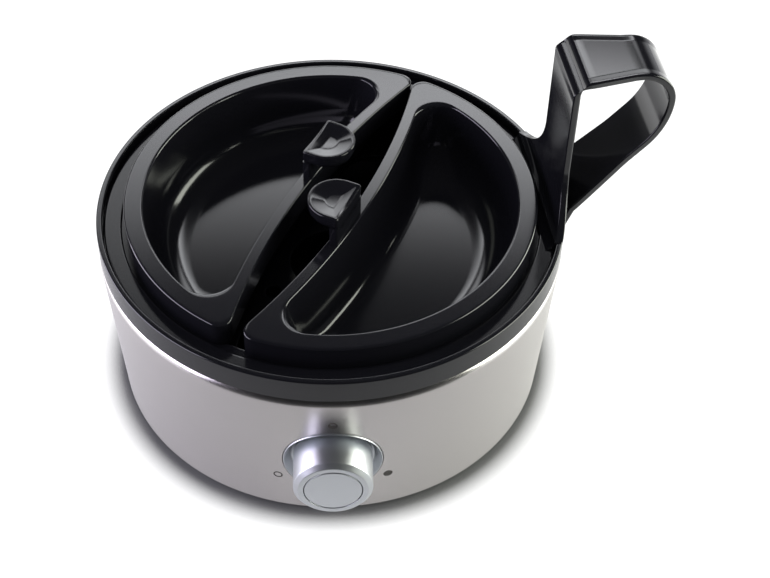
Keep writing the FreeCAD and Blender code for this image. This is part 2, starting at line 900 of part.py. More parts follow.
def make_spring(seat):
    """Coil spring round the button's stem, drawn as long as it is when the button is down."""
    wire = S.spring_wire_radius
    coil = doc.addObject("Part::Helix", "spring_line")
    rise = S.spring_length - wire * 2
    for prop, item in (
        ("Pitch", rise / S.spring_turns),
        ("Height", rise),
        ("Radius", S.spring_radius),
    ):
        setattr(coil, prop, item.value)
        bind(coil, prop, item)
    section = doc.addObject("Sketcher::SketchObject", "spring_section")
    place(section, turn=length(90), axis=Vector(1, 0, 0))
    middle = (S.spring_radius, length(0))
    outside = (S.spring_radius + wire, length(0))
    closed_path(section, outside, [
        ((S.spring_radius, wire), middle),
        ((S.spring_radius - wire, length(0)), middle),
        ((S.spring_radius, -wire), middle),
        (outside, middle),
    ])
    spring = doc.addObject("Part::Sweep", "button_spring")
    spring.Sections = [section]
    spring.Spine = (coil, [])
    spring.Solid = True
    spring.Frenet = True
    place(spring, y=-(seat + wire), z=knob_height, turn=length(90), axis=Vector(1, 0, 0))
    doc.recompute()
    keep(spring, "button_spring")


def make_electronics():
    """Selector on the bezel, board behind it, and what the board carries."""
    half = S.selector_width / 2
    case = block("selector_case", (-half, -selector_front, knob_height - half),
                 S.selector_width, selector_front - board_front, S.selector_width)
    through = selector_front - board_front + S.cut_overrun * 2
    hole = rod("selector_hole", S.hub_radius + S.running_gap, through,
               (0, -(board_front - S.cut_overrun), knob_height),
               turn=length(90), axis=Vector(1, 0, 0))
    keep(cut("selector", case, hole), "selector")
    deep = S.board_part_depth
    board_top = dish_step - S.dish_wall - S.board_top_gap
    board_height = (S.cut_overrun + S.relay_height + S.buzzer_gap + S.buzzer_radius * 2
                    + S.fit_gap)
    board_bottom = board_top - board_height
    clear = wall_radius(board_bottom) - S.sleeve_wall
    front = board_front + deep
    wide = root(clear * clear - front * front) - S.board_edge_gap
    board = block("board_sheet", (-wide, -board_front, board_bottom),
                  wide * 2, S.board_sheet, board_height)
    edge = wide - S.fit_gap
    make_board_feet(board, board_bottom, edge - S.relay_width - S.board_foot_gap)
    face = -front
    relay_low = board_bottom + S.cut_overrun
    keep(block("relay", (edge - S.relay_width, face, relay_low),
               S.relay_width, deep, S.relay_height), "relay")
    keep(block("transformer", (-edge, face, relay_low), S.coil_width, deep, S.coil_height),
         "transformer")
    can_x = -(edge - S.capacitor_radius)
    can_low = relay_low + S.coil_height + S.fit_gap
    keep(rod("capacitor", S.capacitor_radius, board_top - can_low - S.fit_gap,
             (can_x, -(board_front + S.capacitor_radius), can_low)), "capacitor")
    buzz_x = edge - S.buzzer_radius
    buzz_z = board_top - S.buzzer_radius - S.fit_gap
    keep(rod("buzzer", S.buzzer_radius, S.buzzer_height, (buzz_x, -board_front, buzz_z),
             turn=length(90), axis=Vector(1, 0, 0)), "buzzer")
    side = S.switch_width
    keep(block("button_switch", (-(side / 2), -(board_front + S.switch_depth),
                                 knob_height - side / 2),
               side, S.switch_depth, side), "button_switch")


def make_board_feet(board, board_bottom, offset):
    """Two feet on the base plate that the board is screwed to, with their screws."""
    deep = S.board_foot_depth
    wide = S.board_foot_width
    back = -(board_front - S.board_sheet)
    screw_height = board_bottom + S.board_foot_overlap / 2
    foot_top = board_bottom + S.board_foot_overlap
    forward = dict(turn=length(90), axis=Vector(1, 0, 0))
    hole_radius = S.board_screw_radius + S.running_gap
    feet = []
    screws = []
    holes = []
    for side in (-1, 1):
        x = offset * side
        foot = block("board_foot_block", (x - wide / 2, back, base_top), wide, deep,
                     foot_top - base_top)
        bore = rod("board_foot_bore", hole_radius, deep + S.cut_overrun * 2,
                   (x, back + deep + S.cut_overrun, screw_height), **forward)
        feet.append(cut(f"board_foot_{side + 1}", foot, bore))
        hole = rod("board_hole", hole_radius, S.board_sheet + S.cut_overrun * 2,
                   (x, back + S.cut_overrun, screw_height), **forward)
        holes.append(hole)
        shank = rod("board_screw_shank", S.board_screw_radius, S.board_screw_length,
                    (x, S.board_screw_length - board_front, screw_height), **forward)
        head = rod("board_screw_head", S.board_screw_radius * 2, S.board_screw_radius,
                   (x, -board_front, screw_height), **forward)
        screw = doc.addObject("Part::MultiFuse", f"board_screw_{side + 1}")
        screw.Shapes = [shank, head]
        screws.append(screw)
    drill = doc.addObject("Part::Compound", "board_holes")
    drill.Links = holes
    keep(cut("control_board", board, drill), "control_board")
    grouped("board_feet", feet)
    grouped("board_screws", screws)


def make_carrier():
    """Rim on the collar's ledge, pan seat, wall, and a floor with seven egg seats."""
    outside = carrier_inside + S.carrier_wall
    floor = dish_step + S.carrier_lift
    floor_top = floor + S.carrier_floor
    body = turned_part("carrier", [
        (carrier_radius, ledge_top),
        (carrier_radius, carrier_top),
        (carrier_recess, carrier_top),
        (carrier_recess, carrier_seat),
        (carrier_inside, carrier_seat),
        (carrier_inside, floor_top),
        (0, floor_top),
        (0, floor),
        (outside, floor),
        (outside, ledge_top),
    ])
    edges = ring_edges(body.Tip.Shape, [(carrier_radius, carrier_top)])
    round_off(body, "carrier_edge", S.carrier_edge_radius, edges)
    seats = sketch_on(body, "egg_seats", "XY_Plane")
    circle(seats, S.egg_seat_radius)
    egg_circle = carrier_inside - S.egg_seat_radius - S.egg_edge
    for x, y in round_spots(egg_circle, 6):
        circle(seats, S.egg_seat_radius, x, y)
    pocket(body, "egg_seats_cut", seats, reverse=True)
    steam = sketch_on(body, "steam_holes", "XY_Plane")
    for x, y in round_spots(egg_circle * S.steam_circle_share, 6, S.steam_bearing):
        circle(steam, S.steam_hole_radius, x, y)
    pocket(body, "steam_holes_cut", steam, reverse=True)
    place(body, turn=S.handle_bearing)


def draw_path(sketch, start, pieces):
    """Lines and arcs one after the other, each given by its end, and for an arc its centre too.
    Returns the number of each with which of its ends comes first and last."""
    here = Vector(start[0].value, start[1].value, 0)
    ends = []
    for end, centre in pieces:
        there = Vector(end[0].value, end[1].value, 0)
        if centre is None:
            index = sketch.addGeometry(Part.LineSegment(here, there), False)
        else:
            middle = Vector(centre[0].value, centre[1].value, 0)
            way = (here - middle) + (there - middle)
            through = middle + way.normalize() * (there - middle).Length
            index = sketch.addGeometry(Part.Arc(here, through, there), False)
        forward = (sketch.getPoint(index, 1) - here).Length < SAME
        ends.append((index, 1, 2) if forward else (index, 2, 1))
        here = there
    return ends


def fix_path(sketch, ends, pieces, closed):
    """Joins the drawn pieces end to end and fixes every end and radius by its formula."""
    following = ends[1:] + ends[:1] if closed else ends[1:]
    for (index, _, last), (after, head, _) in zip(ends, following):
        sketch.addConstraint(Sketcher.Constraint("Coincident", index, last, after, head))
    for (index, _, last), (end, centre) in zip(ends, pieces):
        fix_point(sketch, index, last, *end)
        if centre is not None:
            dx = end[0] - centre[0]
            dy = end[1] - centre[1]
            fix_radius(sketch, index, root(dx * dx + dy * dy))


def open_path(sketch, start, pieces):
    """A path for a sweep, and the names of its edges."""
    ends = draw_path(sketch, start, pieces)
    fix_point(sketch, ends[0][0], ends[0][1], *start)
    fix_path(sketch, ends, pieces, False)
    return [f"Edge{number}" for number in range(1, len(pieces) + 1)]


def closed_path(sketch, start, pieces):
    """A path whose last end meets its start."""
    fix_path(sketch, draw_path(sketch, start, pieces), pieces, True)


def make_handle():
    """Loop handle: curved upright flaring into the rim, flat top, round bend, sloping return."""
    body = new_body("handle")
    inner = carrier_radius
    outer = inner + S.strap_thickness
    top = rim_top + S.handle_rise
    over_collar = rim_top + S.fit_gap
    foot = inner - S.handle_foot_width
    revolve(body, "upright", [
        (foot, carrier_top),
        (inner, carrier_top),
        (inner, over_collar),
        (outer, over_collar),
        (outer, top - S.strap_corner_radius),
        (inner, top - S.strap_corner_radius),
        (inner, rim_top + S.handle_foot_rise),
    ], S.flare_half_angle)
    half = S.strap_half_width
    flare = S.flare_radius
    beyond = S.drum_radius
    above = top + S.cut_overrun
    sides = sketch_on(body, "flare_sides", "YZ_Plane")
    for side in (-1, 1):
        corner = (half + flare) * side
        bend_end = (half * side, rim_top + flare)
        low_end = (corner, rim_top)
        pieces = [
            (bend_end, (corner, rim_top + flare)),
            ((half * side, above), None),
            ((beyond * side, above), None),
            ((beyond * side, rim_top), None),
            (low_end, None),
        ]
        closed_path(sides, low_end, pieces)
    pocket(body, "flare_cut", sides, reverse=True)

    tab_half = arcsine(half / outer)
    clear = S.drum_radius + S.fit_gap
    revolve(body, "root_tab", [
        (clear, rim_top - S.root_drop),
        (clear + S.root_proud, rim_top - S.root_drop),
        (clear + S.root_proud * 2, rim_top),
        (outer, over_collar + S.root_rise),
        (outer - S.strap_thickness / 2, over_collar),
        (clear, over_collar),
    ], tab_half)

    path = sketch_on(body, "strap_path", "XZ_Plane")
    level = top - S.strap_thickness / 2
    centre_line = strap_centre
    corner = S.strap_corner_radius
    start = (centre_line, level - corner * 2)
    reach = S.drum_radius + S.strap_overhang - S.strap_thickness / 2
    bend = S.strap_bend_radius
    turn = S.strap_return_radius
    angle = S.strap_return_angle
    bend_centre = (reach - bend, level - bend)
    turn_centre = (reach - turn, level - bend)
    turn_end = (turn_centre[0] + turn * cosine(angle), turn_centre[1] - turn * sine(angle))
    root_radius = S.drum_radius + S.strap_root_gap
    fall = (turn_end[0] - root_radius) * cosine(angle) / sine(angle)
    edges = open_path(path, start, [
        ((centre_line, level - corner), None),
        ((centre_line + corner, level), (centre_line + corner, level - corner)),
        ((reach - bend, level), None),
        ((reach, level - bend), bend_centre),
        (turn_end, turn_centre),
        ((root_radius, turn_end[1] - fall), None),
    ])
    section = sketch_on(body, "strap_section", "XY_Plane", start[1])
    thick = S.strap_thickness / 2
    outline(section, [
        (centre_line - thick, -half),
        (centre_line + thick, -half),
        (centre_line + thick, half),
        (centre_line - thick, half),
    ])
    strap = body.newObject("PartDesign::AdditivePipe", "strap")
    strap.Profile = section
    strap.Spine = (path, edges)
    doc.recompute()

    taper = sketch_on(body, "taper_sides", "XY_Plane")
    end_half = S.strap_end_half_width
    past = reach + S.strap_thickness + S.cut_overrun
    taper_start = S.drum_radius + S.taper_start_gap
    taper_end = S.drum_radius + S.taper_end_gap
    wide = half + S.cut_overrun
    for side in (-1, 1):
        outline(taper, [
            (taper_start, half * side),
            (taper_end, end_half * side),
            (past, end_half * side),
            (past, wide * side),
            (taper_start, wide * side),
        ])
    pocket(body, "taper_cut", taper, reverse=True)
    place(body, turn=S.handle_bearing)
    keep(body, "handle")


def kidney(body, name, height, rim, bow, corner):
    """Closed outline between the arc of radius rim about the drum's axis and the shallow
    trough arc of radius bow, with both ends rounded by corner."""
    sketch = sketch_on(body, name, "XY_Plane", height)
    away = pan_bow - S.pan_half_gap
    near = rim - corner
    far = bow + corner
    up = (far * far - near * near - away * away) / (away * 2)
    side = root(near * near - up * up)
    outer_end = (side * rim / near, up * rim / near)
    inner_end = (side * bow / far, (up + away) * bow / far - away)
    for flip in (1, -1):
        kidney_corner(sketch, side.value * flip, up.value, corner, outer_end, inner_end, flip)
    arc = Part.ArcOfCircle(
        Part.Circle(Vector(0, 0, 0), Vector(0, 0, 1), rim.value),
        math.atan2(outer_end[1].value, outer_end[0].value),
        math.pi - math.atan2(outer_end[1].value, outer_end[0].value),
    )
    outer = sketch.addGeometry(arc, False)
    low = Vector(0, -away.value, 0)
    tilt = math.atan2(inner_end[1].value + away.value, inner_end[0].value)
    arc = Part.ArcOfCircle(Part.Circle(low, Vector(0, 0, 1), bow.value), tilt, math.pi - tilt)
    inner = sketch.addGeometry(arc, False)
    add = sketch.addConstraint
    add(Sketcher.Constraint("Coincident", outer, 3, -1, 1))
    add(Sketcher.Constraint("PointOnObject", inner, 3, -2))
    number = add(Sketcher.Constraint("DistanceY", inner, 3, -1, 1, away.value))
    sketch.setExpression(f"Constraints[{number}]", away.formula)
    for index, radius in ((outer, rim), (inner, bow), (0, corner), (1, corner)):
        fix_radius(sketch, index, radius)
    for turn, end in ((0, 1), (1, 2)):
        for arc in (outer, inner):
            meets = touching(sketch, turn, arc, end)
            add(Sketcher.Constraint("Tangent", arc, end, turn, meets))
    return sketch


def touching(sketch, corner_arc, other, end):
    """Which end of a corner arc meets the given end of another arc."""
    spot = sketch.getPoint(other, end)
    first_gap = (sketch.getPoint(corner_arc, 1) - spot).Length
    last_gap = (sketch.getPoint(corner_arc, 2) - spot).Length
    return 1 if first_gap < last_gap else 2


def kidney_corner(sketch, x, y, corner, outer_end, inner_end, flip):
    """One rounded end of the outline."""
    centre = Vector(x, y, 0)
    first = Vector(outer_end[0].value * flip, outer_end[1].value, 0)
    last = Vector(inner_end[0].value * flip, inner_end[1].value, 0)
    way = (first - centre) + (last - centre)
    through = centre + way.normalize() * corner.value
    sketch.addGeometry(Part.Arc(first, through, last), False)


def make_pan(label, bearing):
    """Poaching pan: skirted flange round a smooth kidney well, and a scooped finger grip."""
    body = new_body(label)
    seat = carrier_seat
    wall = S.pan_skirt_wall
    bow = pan_bow
    flange = kidney(body, label + "_flange", seat, pan_radius, bow, S.pan_corner_radius)
    pad(body, label + "_slab", flange, flange_top - seat)
    hollow = kidney(body, label + "_hollow", seat, pan_radius - wall, bow + wall,
                    S.pan_corner_radius - wall)
    pocket(body, label + "_skirt", hollow, reverse=True,
           depth=flange_top - S.pan_flange_sheet - seat)
    well_bottom = flange_top - S.well_depth
    outer_steps = well_steps(S.well_wall, well_bottom - S.well_wall)
    loft(body, label + "_bowl", "PartDesign::AdditiveLoft", outer_steps)
    inner_steps = well_steps(length(0), well_bottom)
    loft(body, label + "_well", "PartDesign::SubtractiveLoft", inner_steps)
    make_grip(body, label)
    place(body, turn=bearing)
    keep(body, label)


def well_steps(wall, bottom):
    """Heights and outlines of the well, from its mouth down to its rounded bottom."""
    rim = pan_radius - S.pan_flange_width + wall
    bow = pan_bow + S.pan_inner_flange_width - wall
    corner = S.well_corner_radius + wall
    bend = S.well_bottom_round
    steps = []
    for height, inset in (
        (flange_top, length(0)),
        (bottom + bend * S.well_low_share, S.well_draft * S.well_draft_share),
        (bottom + bend * S.well_bend_share, S.well_draft + bend * S.well_turn_share),
        (bottom, S.well_draft + bend),
    ):
        steps.append((height, rim - inset, bow + inset * S.well_bow_share,
                      corner - inset * S.well_corner_share))
    return steps


def loft(body, name, kind, steps):
    """A smooth solid through kidney outlines at several heights."""
    sketches = [kidney(body, f"{name}_{number}", *step) for number, step in enumerate(steps)]
    feature = body.newObject(kind, name)
    feature.Profile = sketches[0]
    feature.Sections = [(item, [""]) for item in sketches[1:]]
    doc.recompute()
    return feature


def make_grip(body, label):
    """Web that rises from the inner flange, and a D-shaped scoop on top, over the trough."""
    start = S.grip_start
    end = start + S.grip_length
    back = S.pan_half_gap + S.pan_inner_flange_width - S.grip_set_back
    front = back - S.grip_web
    top = flange_top + S.grip_height
    cup_low = top - S.cup_height
    foot = flange_top - S.pan_flange_sheet
    web = sketch_on(body, label + "_web_outline", "XY_Plane", foot)
    outline(web, [(start, front), (end, front), (end, back), (start, back)])
    pad(body, label + "_web", web, top - foot)
    cup = sketch_on(body, label + "_cup_outline", "XY_Plane", cup_low)
    dee(cup, start, end, back, S.grip_depth)
    pad(body, label + "_cup", cup, S.cup_height)
    under = level_edges(body.Tip.Shape, cup_low, front)
    round_off(body, label + "_cup_under", S.cup_outer_round, under)
    bowl_low = top - S.cup_depth
    bowl = sketch_on(body, label + "_bowl_outline", "XY_Plane", bowl_low)
    wall = S.cup_wall
    dee(bowl, start + wall, end - wall, back - wall, S.grip_depth - wall * 2)
    pocket(body, label + "_bowl_cut", bowl, reverse=True, depth=S.cup_depth)
    inside = level_edges(body.Tip.Shape, bowl_low)
    round_off(body, label + "_bowl_round", S.cup_inner_round, inside)


def dee(sketch, start, end, back, depth):
    """A D outline: straight along back, round on the side away from it."""
    half = (end - start) / 2
    middle = start + half
    shoulder = back - (depth - half)
    closed_path(sketch, (start, back), [
        ((start, shoulder), None),
        ((middle, shoulder - half), (middle, shoulder)),
        ((end, shoulder), (middle, shoulder)),
        ((end, back), None),
        ((start, back), None),
    ])


def check_and_write():
    """Stops on any failed object, then writes one file for each sub-part."""
    doc.recompute()
    for thing in doc.Objects:
        if "Invalid" in thing.State or "Error" in thing.State:
            raise RuntimeError(f"{thing.Name} is {thing.State}")
    os.makedirs("parts", exist_ok=True)
    for thing in parts:
        shape = thing.Shape
        if shape.isNull() or not shape.isValid() or not shape.Solids:
            raise RuntimeError(thing.Label + " has no valid solid")
        shape.exportStep(f"parts/{thing.Label}.step")
        print(f"{thing.Label}: {len(shape.Solids)} solid, {shape.Volume / 1000:.2f} cm3")


make_body_sleeve()
make_collar()
make_dish()
make_heater()
make_base()
make_mains_side()
make_knob()
make_electronics()
make_carrier()
make_handle()
make_pan("pan_left", S.pan_bearing - S.pan_turn)
make_pan("pan_right", S.pan_bearing + 180 + S.pan_turn)
check_and_write()
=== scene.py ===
# Looks of a round electric egg boiler with a loop handle and two poaching pans.
# Sizes are in millimetres until a mesh is made: +Z is up, the knob faces -Y, and the origin is
# on the drum's axis at the surface that the boiler stands on.
import json
import math

import bmesh
import bpy
import numpy as np
from mathutils import Matrix, Vector


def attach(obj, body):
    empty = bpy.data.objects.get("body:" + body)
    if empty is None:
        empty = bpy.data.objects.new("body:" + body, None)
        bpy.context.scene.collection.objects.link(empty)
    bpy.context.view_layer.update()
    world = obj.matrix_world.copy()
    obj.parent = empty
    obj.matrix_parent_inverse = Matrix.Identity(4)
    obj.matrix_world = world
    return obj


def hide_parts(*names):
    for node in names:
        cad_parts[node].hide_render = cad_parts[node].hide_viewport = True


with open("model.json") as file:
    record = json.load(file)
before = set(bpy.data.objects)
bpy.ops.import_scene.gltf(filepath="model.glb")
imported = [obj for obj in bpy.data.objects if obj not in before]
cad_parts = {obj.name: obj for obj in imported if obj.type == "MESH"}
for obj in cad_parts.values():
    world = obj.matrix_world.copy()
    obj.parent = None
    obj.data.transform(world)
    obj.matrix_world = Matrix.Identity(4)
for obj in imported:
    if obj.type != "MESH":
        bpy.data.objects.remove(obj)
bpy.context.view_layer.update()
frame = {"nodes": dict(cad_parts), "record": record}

MM = 0.001
TURN = 2 * math.pi
# Edges that turn by more than this stay sharp in smooth shading
SHARP = math.radians(40)
# Degrees between two points of a rounded corner, at most
ARC_STEP = 9

# Steel sleeve: heights of its ends, its outer radius at its foot and at its top, its thickness
# and the radius to which it turns in under the collar
SLEEVE_LOW, SLEEVE_HIGH = 3.0, 67.0
DRUM_FOOT, DRUM_TOP = 81.3, 85.0
SHEET, TURNED_IN = 0.8, 81.5
# Cord's hole at the back, and the room round what goes through a hole
CORD_HEIGHT, CORD_RADIUS = 16.0, 5.0
HOLE_ROOM = 0.05
# Distances from the axis between which the holes in the sleeve are cut
HOLE_NEAR, HOLE_FAR = 70.0, 95.0

# Collar: its top, and the ledge inside it that the carrier rests on
RIM_TOP = 76.5
LEDGE_TOP = 70.3

# Knob: height of its axis, and the ring round it
KNOB_HEIGHT = 31.6
BEZEL_RADIUS = 17.7
BEZEL_PROUD = 0.35

# Printed dots: the circle round the knob that they lie on, the angle from its top to the lower
# two, the radius of a dot and of the hole in an open one, and how it lies on the wall
MARK_CIRCLE, MARK_TURN = 22.0, math.radians(118)
MARK_RADIUS, MARK_HOLE = 1.65, 1.15
MARK_PROUD, MARK_SUNK = 0.03, 0.1

# Carrier: its top, the step that the pans rest on, and the circles of its holes
CARRIER_TOP, PAN_SEAT = 73.3, 71.8
EGG_CIRCLE, EGG_RADIUS = 47.0, 15.5
STEAM_CIRCLE, STEAM_RADIUS = 27.0, 3.0

# Handle: its turn about the axis, and its strap's distance from the axis at the foot, half width
# and half thickness
HANDLE_BEARING = math.radians(7)
STRAP_CENTRE, STRAP_HALF, STRAP_THICK = 83.5, 14.0, 1.3

# Pans: the arcs of the outline are about the axis and about a point beyond the trough
PAN_RADIUS, PAN_BOW, PAN_CORNER = 74.55, 289.03, 4.5
PAN_HALF_GAP = 10.0
BOW_AWAY = PAN_BOW - PAN_HALF_GAP
FLANGE_OUTER, FLANGE_INNER = 6.9, 4.7
FLANGE_TOP = 81.5
# Corner of the well's mouth, and how the well's bow and corners shrink as its wall comes in
WELL_CORNER = 10.0
WELL_BOW_SHARE, WELL_CORNER_SHARE = 0.55, 0.15
LEFT_BEARING, RIGHT_BEARING = math.radians(62.42), math.radians(244.18)
# Grip: where its straight back starts along the trough and how long it is, how far the back and
# the centre of its round front are from the trough's middle line, the thickness of its web, its
# height over the flange, and how far the middle of its back dips
GRIP_START, GRIP_LENGTH, GRIP_BACK, GRIP_SHOULDER = 3.0, 20.3, 13.4, 8.35
GRIP_WEB, GRIP_HEIGHT, GRIP_DIP = 3.3, 12.6, 0.8


# Meshes


def rounded(corners, closed=True, guard=0.3):
    """Straight lines through corners (x, y, radius), with an arc at each corner that has a radius.
    The arc starts radius / tan(half the corner's angle) from the corner on both of its lines, and
    its centre is radius / sin(half the angle) along the bisector. A point is added close outside
    each end of the arc, where there is room, so that smooth shading keeps to the arc."""
    points = []
    count = len(corners)
    for index, (x, y, radius) in enumerate(corners):
        here = np.array((x, y), float)
        inside = closed or 0 < index < count - 1
        if radius == 0 or not inside:
            points.append(here)
            continue
        back = np.array(corners[index - 1][:2]) - here
        ahead = np.array(corners[(index + 1) % count][:2]) - here
        back_run, ahead_run = np.linalg.norm(back), np.linalg.norm(ahead)
        back, ahead = back / back_run, ahead / ahead_run
        half = math.acos(float(np.clip(back @ ahead, -1, 1))) / 2
        run = radius / math.tan(half)
        bisector = (back + ahead) / np.linalg.norm(back + ahead)
        centre = here + bisector * radius / math.sin(half)
        first, last = here + back * run - centre, here + ahead * run - centre
        sweep = math.pi - 2 * half
        way = math.copysign(1, first[0] * last[1] - first[1] * last[0])
        steps = max(3, math.ceil(math.degrees(sweep) / ARC_STEP))
        if back_run > run + 2 * guard:
            points.append(here + back * (run + guard))
        angle = way * sweep * np.arange(steps + 1) / steps
        cosine, sine = np.cos(angle), np.sin(angle)
        points.extend(centre + np.stack((
            first[0] * cosine - first[1] * sine, first[0] * sine + first[1] * cosine), -1))
        if ahead_run > run + 2 * guard:
            points.append(here + ahead * (run + guard))
    return np.array(points)


def grid(rows, wrap_rows=False, wrap_columns=True):
    """Points of an array of rows, and the four-sided faces between neighbours in it."""
    high, wide = rows.shape[:2]
    number = np.arange(high * wide).reshape(high, wide)
    if wrap_rows:
        number = np.concatenate((number, number[:1]))
    if wrap_columns:
        number = np.concatenate((number, number[:, :1]), 1)
    quads = np.stack((number[:-1, :-1], number[:-1, 1:], number[1:, 1:], number[1:, :-1]), -1)
    return rows.reshape(-1, 3), quads.reshape(-1, 4).tolist()


def capped(rows):
    """Rows that are closed round, with a flat face over the first row and over the last."""
    points, faces = grid(rows)
    wide = rows.shape[1]
    faces.append(list(range(wide)))
    faces.append(list(range(len(points) - wide, len(points))))
    return points, faces


def turned(profile, closed=True, count=256):
    """A profile of points (radius, height) turned about the Z axis."""
    angle = np.arange(count) * TURN / count
    rows = np.empty((len(profile), count, 3))
    rows[:, :, 0] = profile[:, :1] * np.cos(angle)
    rows[:, :, 1] = profile[:, :1] * np.sin(angle)
    rows[:, :, 2] = profile[:, 1:]
    return grid(rows, wrap_rows=closed)


def bar(radius, low, high, count):
    """A round bar on the Z axis between two heights."""
    profile = np.array([(0, low), (radius, low), (radius, high), (0, high)], float)
    return turned(profile, closed=False, count=count)


def arc(x, y, radius, start, end, count, last=True):
    """Points on a circle about (x, y), evenly from one angle to another, with or without the
    last one."""
    angle = np.linspace(start, end, count, endpoint=last)
    return np.stack((x + radius * np.cos(angle), y + radius * np.sin(angle)), -1)


def at_height(line, height):
    """Points (x, y) of a line given one height, or a height each."""
    return np.column_stack((line, np.broadcast_to(height, len(line))))


def onto_knob(shell):
    """A shell round the Z axis laid onto the knob's axis: its heights become distances from the
    drum's axis to the front."""
    points, faces = shell
    return np.stack((points[:, 0], -points[:, 2], points[:, 1] + KNOB_HEIGHT), 1), faces


def turned_by(shell, bearing):
    """A shell turned about the drum's axis."""
    points, faces = shell
    cosine, sine = math.cos(bearing), math.sin(bearing)
    x, y = points[:, 0], points[:, 1]
    return np.stack((x * cosine - y * sine, x * sine + y * cosine, points[:, 2]), 1), faces


def mesh_from(name, shells):
    """One mesh from shells of points and faces. Points that meet are welded, which closes seams
    and poles, and all faces are turned outwards. The two distances for that are in metres."""
    weld, shortest = 1e-6, 1e-7
    points = np.concatenate([shell_points for shell_points, _ in shells]) * MM
    faces = []
    first = 0
    for shell_points, shell_faces in shells:
        faces += [[corner + first for corner in face] for face in shell_faces]
        first += len(shell_points)
    mesh = bpy.data.meshes.new(name)
    mesh.from_pydata(points.tolist(), [], faces)
    shape = bmesh.new()
    shape.from_mesh(mesh)
    bmesh.ops.remove_doubles(shape, verts=shape.verts, dist=weld)
    bmesh.ops.dissolve_degenerate(shape, dist=shortest, edges=shape.edges)
    bmesh.ops.recalc_face_normals(shape, faces=shape.faces)
    shape.to_mesh(mesh)
    shape.free()
    mesh.shade_smooth()
    mesh.set_sharp_from_angle(angle=SHARP)
    return mesh


def placed(name, data):
    """An object of some data, put into the scene."""
    thing = bpy.data.objects.new(name, data)
    bpy.context.scene.collection.objects.link(thing)
    return thing


def applied(thing):
    """The mesh of an object with its modifiers, or its curve's depth, worked out."""
    bpy.context.view_layer.update()
    shown = thing.evaluated_get(bpy.context.evaluated_depsgraph_get())
    return bpy.data.meshes.new_from_object(shown)


def piece(name, shells, body, slot, *nodes, coat=None):
    """A piece of the object that rides on a body, in the finish of its slot or a coat of its
    own. It stands in for the CAD nodes that are named."""
    mesh = mesh_from(name, shells)
    mesh.materials.append(coat or FINISHES[slot])
    thing = placed(name, mesh)
    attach(thing, body)
    if nodes:
        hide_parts(*nodes)
    return thing


def pierce(thing, shells):
    """Cuts the volume of some shells out of a piece."""
    cutter = placed("cutter", mesh_from("cutter", shells))
    step = thing.modifiers.new("cut", "BOOLEAN")
    step.object = cutter
    step.solver = "EXACT"
    mesh = applied(thing)
    thing.modifiers.clear()
    thing.data = mesh
    mesh.set_sharp_from_angle(angle=SHARP)
    bpy.data.objects.remove(cutter)


def drum_radius(height):
    """Outer radius of the drum, which widens evenly from its foot to its top."""
    return DRUM_FOOT + (DRUM_TOP - DRUM_FOOT) * (height - SLEEVE_LOW) / (SLEEVE_HIGH - SLEEVE_LOW)


def on_drum(x, z, proud):
    """Points on the front of the drum, moved outwards by proud: y is the negative root of
    (radius + proud) squared less x squared."""
    radius = drum_radius(z) + proud
    return np.stack((x, -np.sqrt(radius**2 - x**2), z), -1)


# Finishes


def linear(code):
    """A hex colour in sRGB as linear red, green, blue and alpha."""
    values = [int(code[index : index + 2], 16) / 255 for index in (1, 3, 5)]
    return [v / 12.92 if v < 0.04045 else ((v + 0.055) / 1.055) ** 2.4 for v in values] + [1.0]


def add(tree, kind, inputs=None, **settings):
    """Adds a node, sets its properties, and gives its inputs a constant or another's output."""
    node = tree.nodes.new("ShaderNode" + kind)
    for name, value in settings.items():
        setattr(node, name, value)
    for name, value in (inputs or {}).items():
        if isinstance(value, bpy.types.NodeSocket):
            tree.links.new(value, node.inputs[name])
        else:
            node.inputs[name].default_value = value
    return node


def finish(name, colour, roughness, metallic=0.0):
    """A plain finish with one colour and one roughness."""
    material = bpy.data.materials.new(name)
    material.use_nodes = True
    shader = material.node_tree.nodes["Principled BSDF"]
    shader.inputs["Base Color"].default_value = linear(colour)
    shader.inputs["Roughness"].default_value = roughness
    shader.inputs["Metallic"].default_value = metallic
    return material


def stretched_noise(tree, along, across, detail):
    """Noise whose grains are drawn out flat round the drum: `along` grains per millimetre in X
    and Y, `across` grains per millimetre in Z."""
    spot = add(tree, "TexCoord").outputs["Object"]
    scaled = add(tree, "Mapping", {
        "Vector": spot,
        "Scale": (along / MM, along / MM, across / MM),
    })
    noise = add(tree, "TexNoise", {"Vector": scaled.outputs[0], "Scale": 1.0, "Detail": detail})
    return noise.outputs["Fac"]


def brushed_steel():
    """Stainless sheet brushed round the drum: level scratches 0.1 to 0.5 mm apart and some 80 mm
    long. Each is a little lighter or darker than the sheet and bends the light a little, and a
    highlight is drawn out across them."""
    colour = "#c9c5c4"
    material = finish("brushed_stainless_steel", colour, 0.26, 1.0)
    tree = material.node_tree
    shader = tree.nodes["Principled BSDF"]
    shader.inputs["Anisotropic"].default_value = 0.6
    shader.inputs["Anisotropic Rotation"].default_value = 0.25
    tangent = add(tree, "Tangent", direction_type="RADIAL", axis="Z")
    tree.links.new(tangent.outputs[0], shader.inputs["Tangent"])
    scratches = stretched_noise(tree, 0.012, 3.0, 4.0)
    shade = add(tree, "MapRange", {"Value": scratches, "To Min": 0.93, "To Max": 1.04})
    # A Mix node's inputs 0, 6 and 7 are the share and the two colours; its output 2 is a colour
    shaded = add(tree, "Mix", {0: 1.0, 6: linear(colour), 7: shade.outputs[0]},
                 data_type="RGBA", blend_type="MULTIPLY")
    tree.links.new(shaded.outputs[2], shader.inputs["Base Color"])
    bump = add(tree, "Bump", {"Height": scratches, "Strength": 0.05, "Distance": 0.1 * MM})
    tree.links.new(bump.outputs[0], shader.inputs["Normal"])
    return material


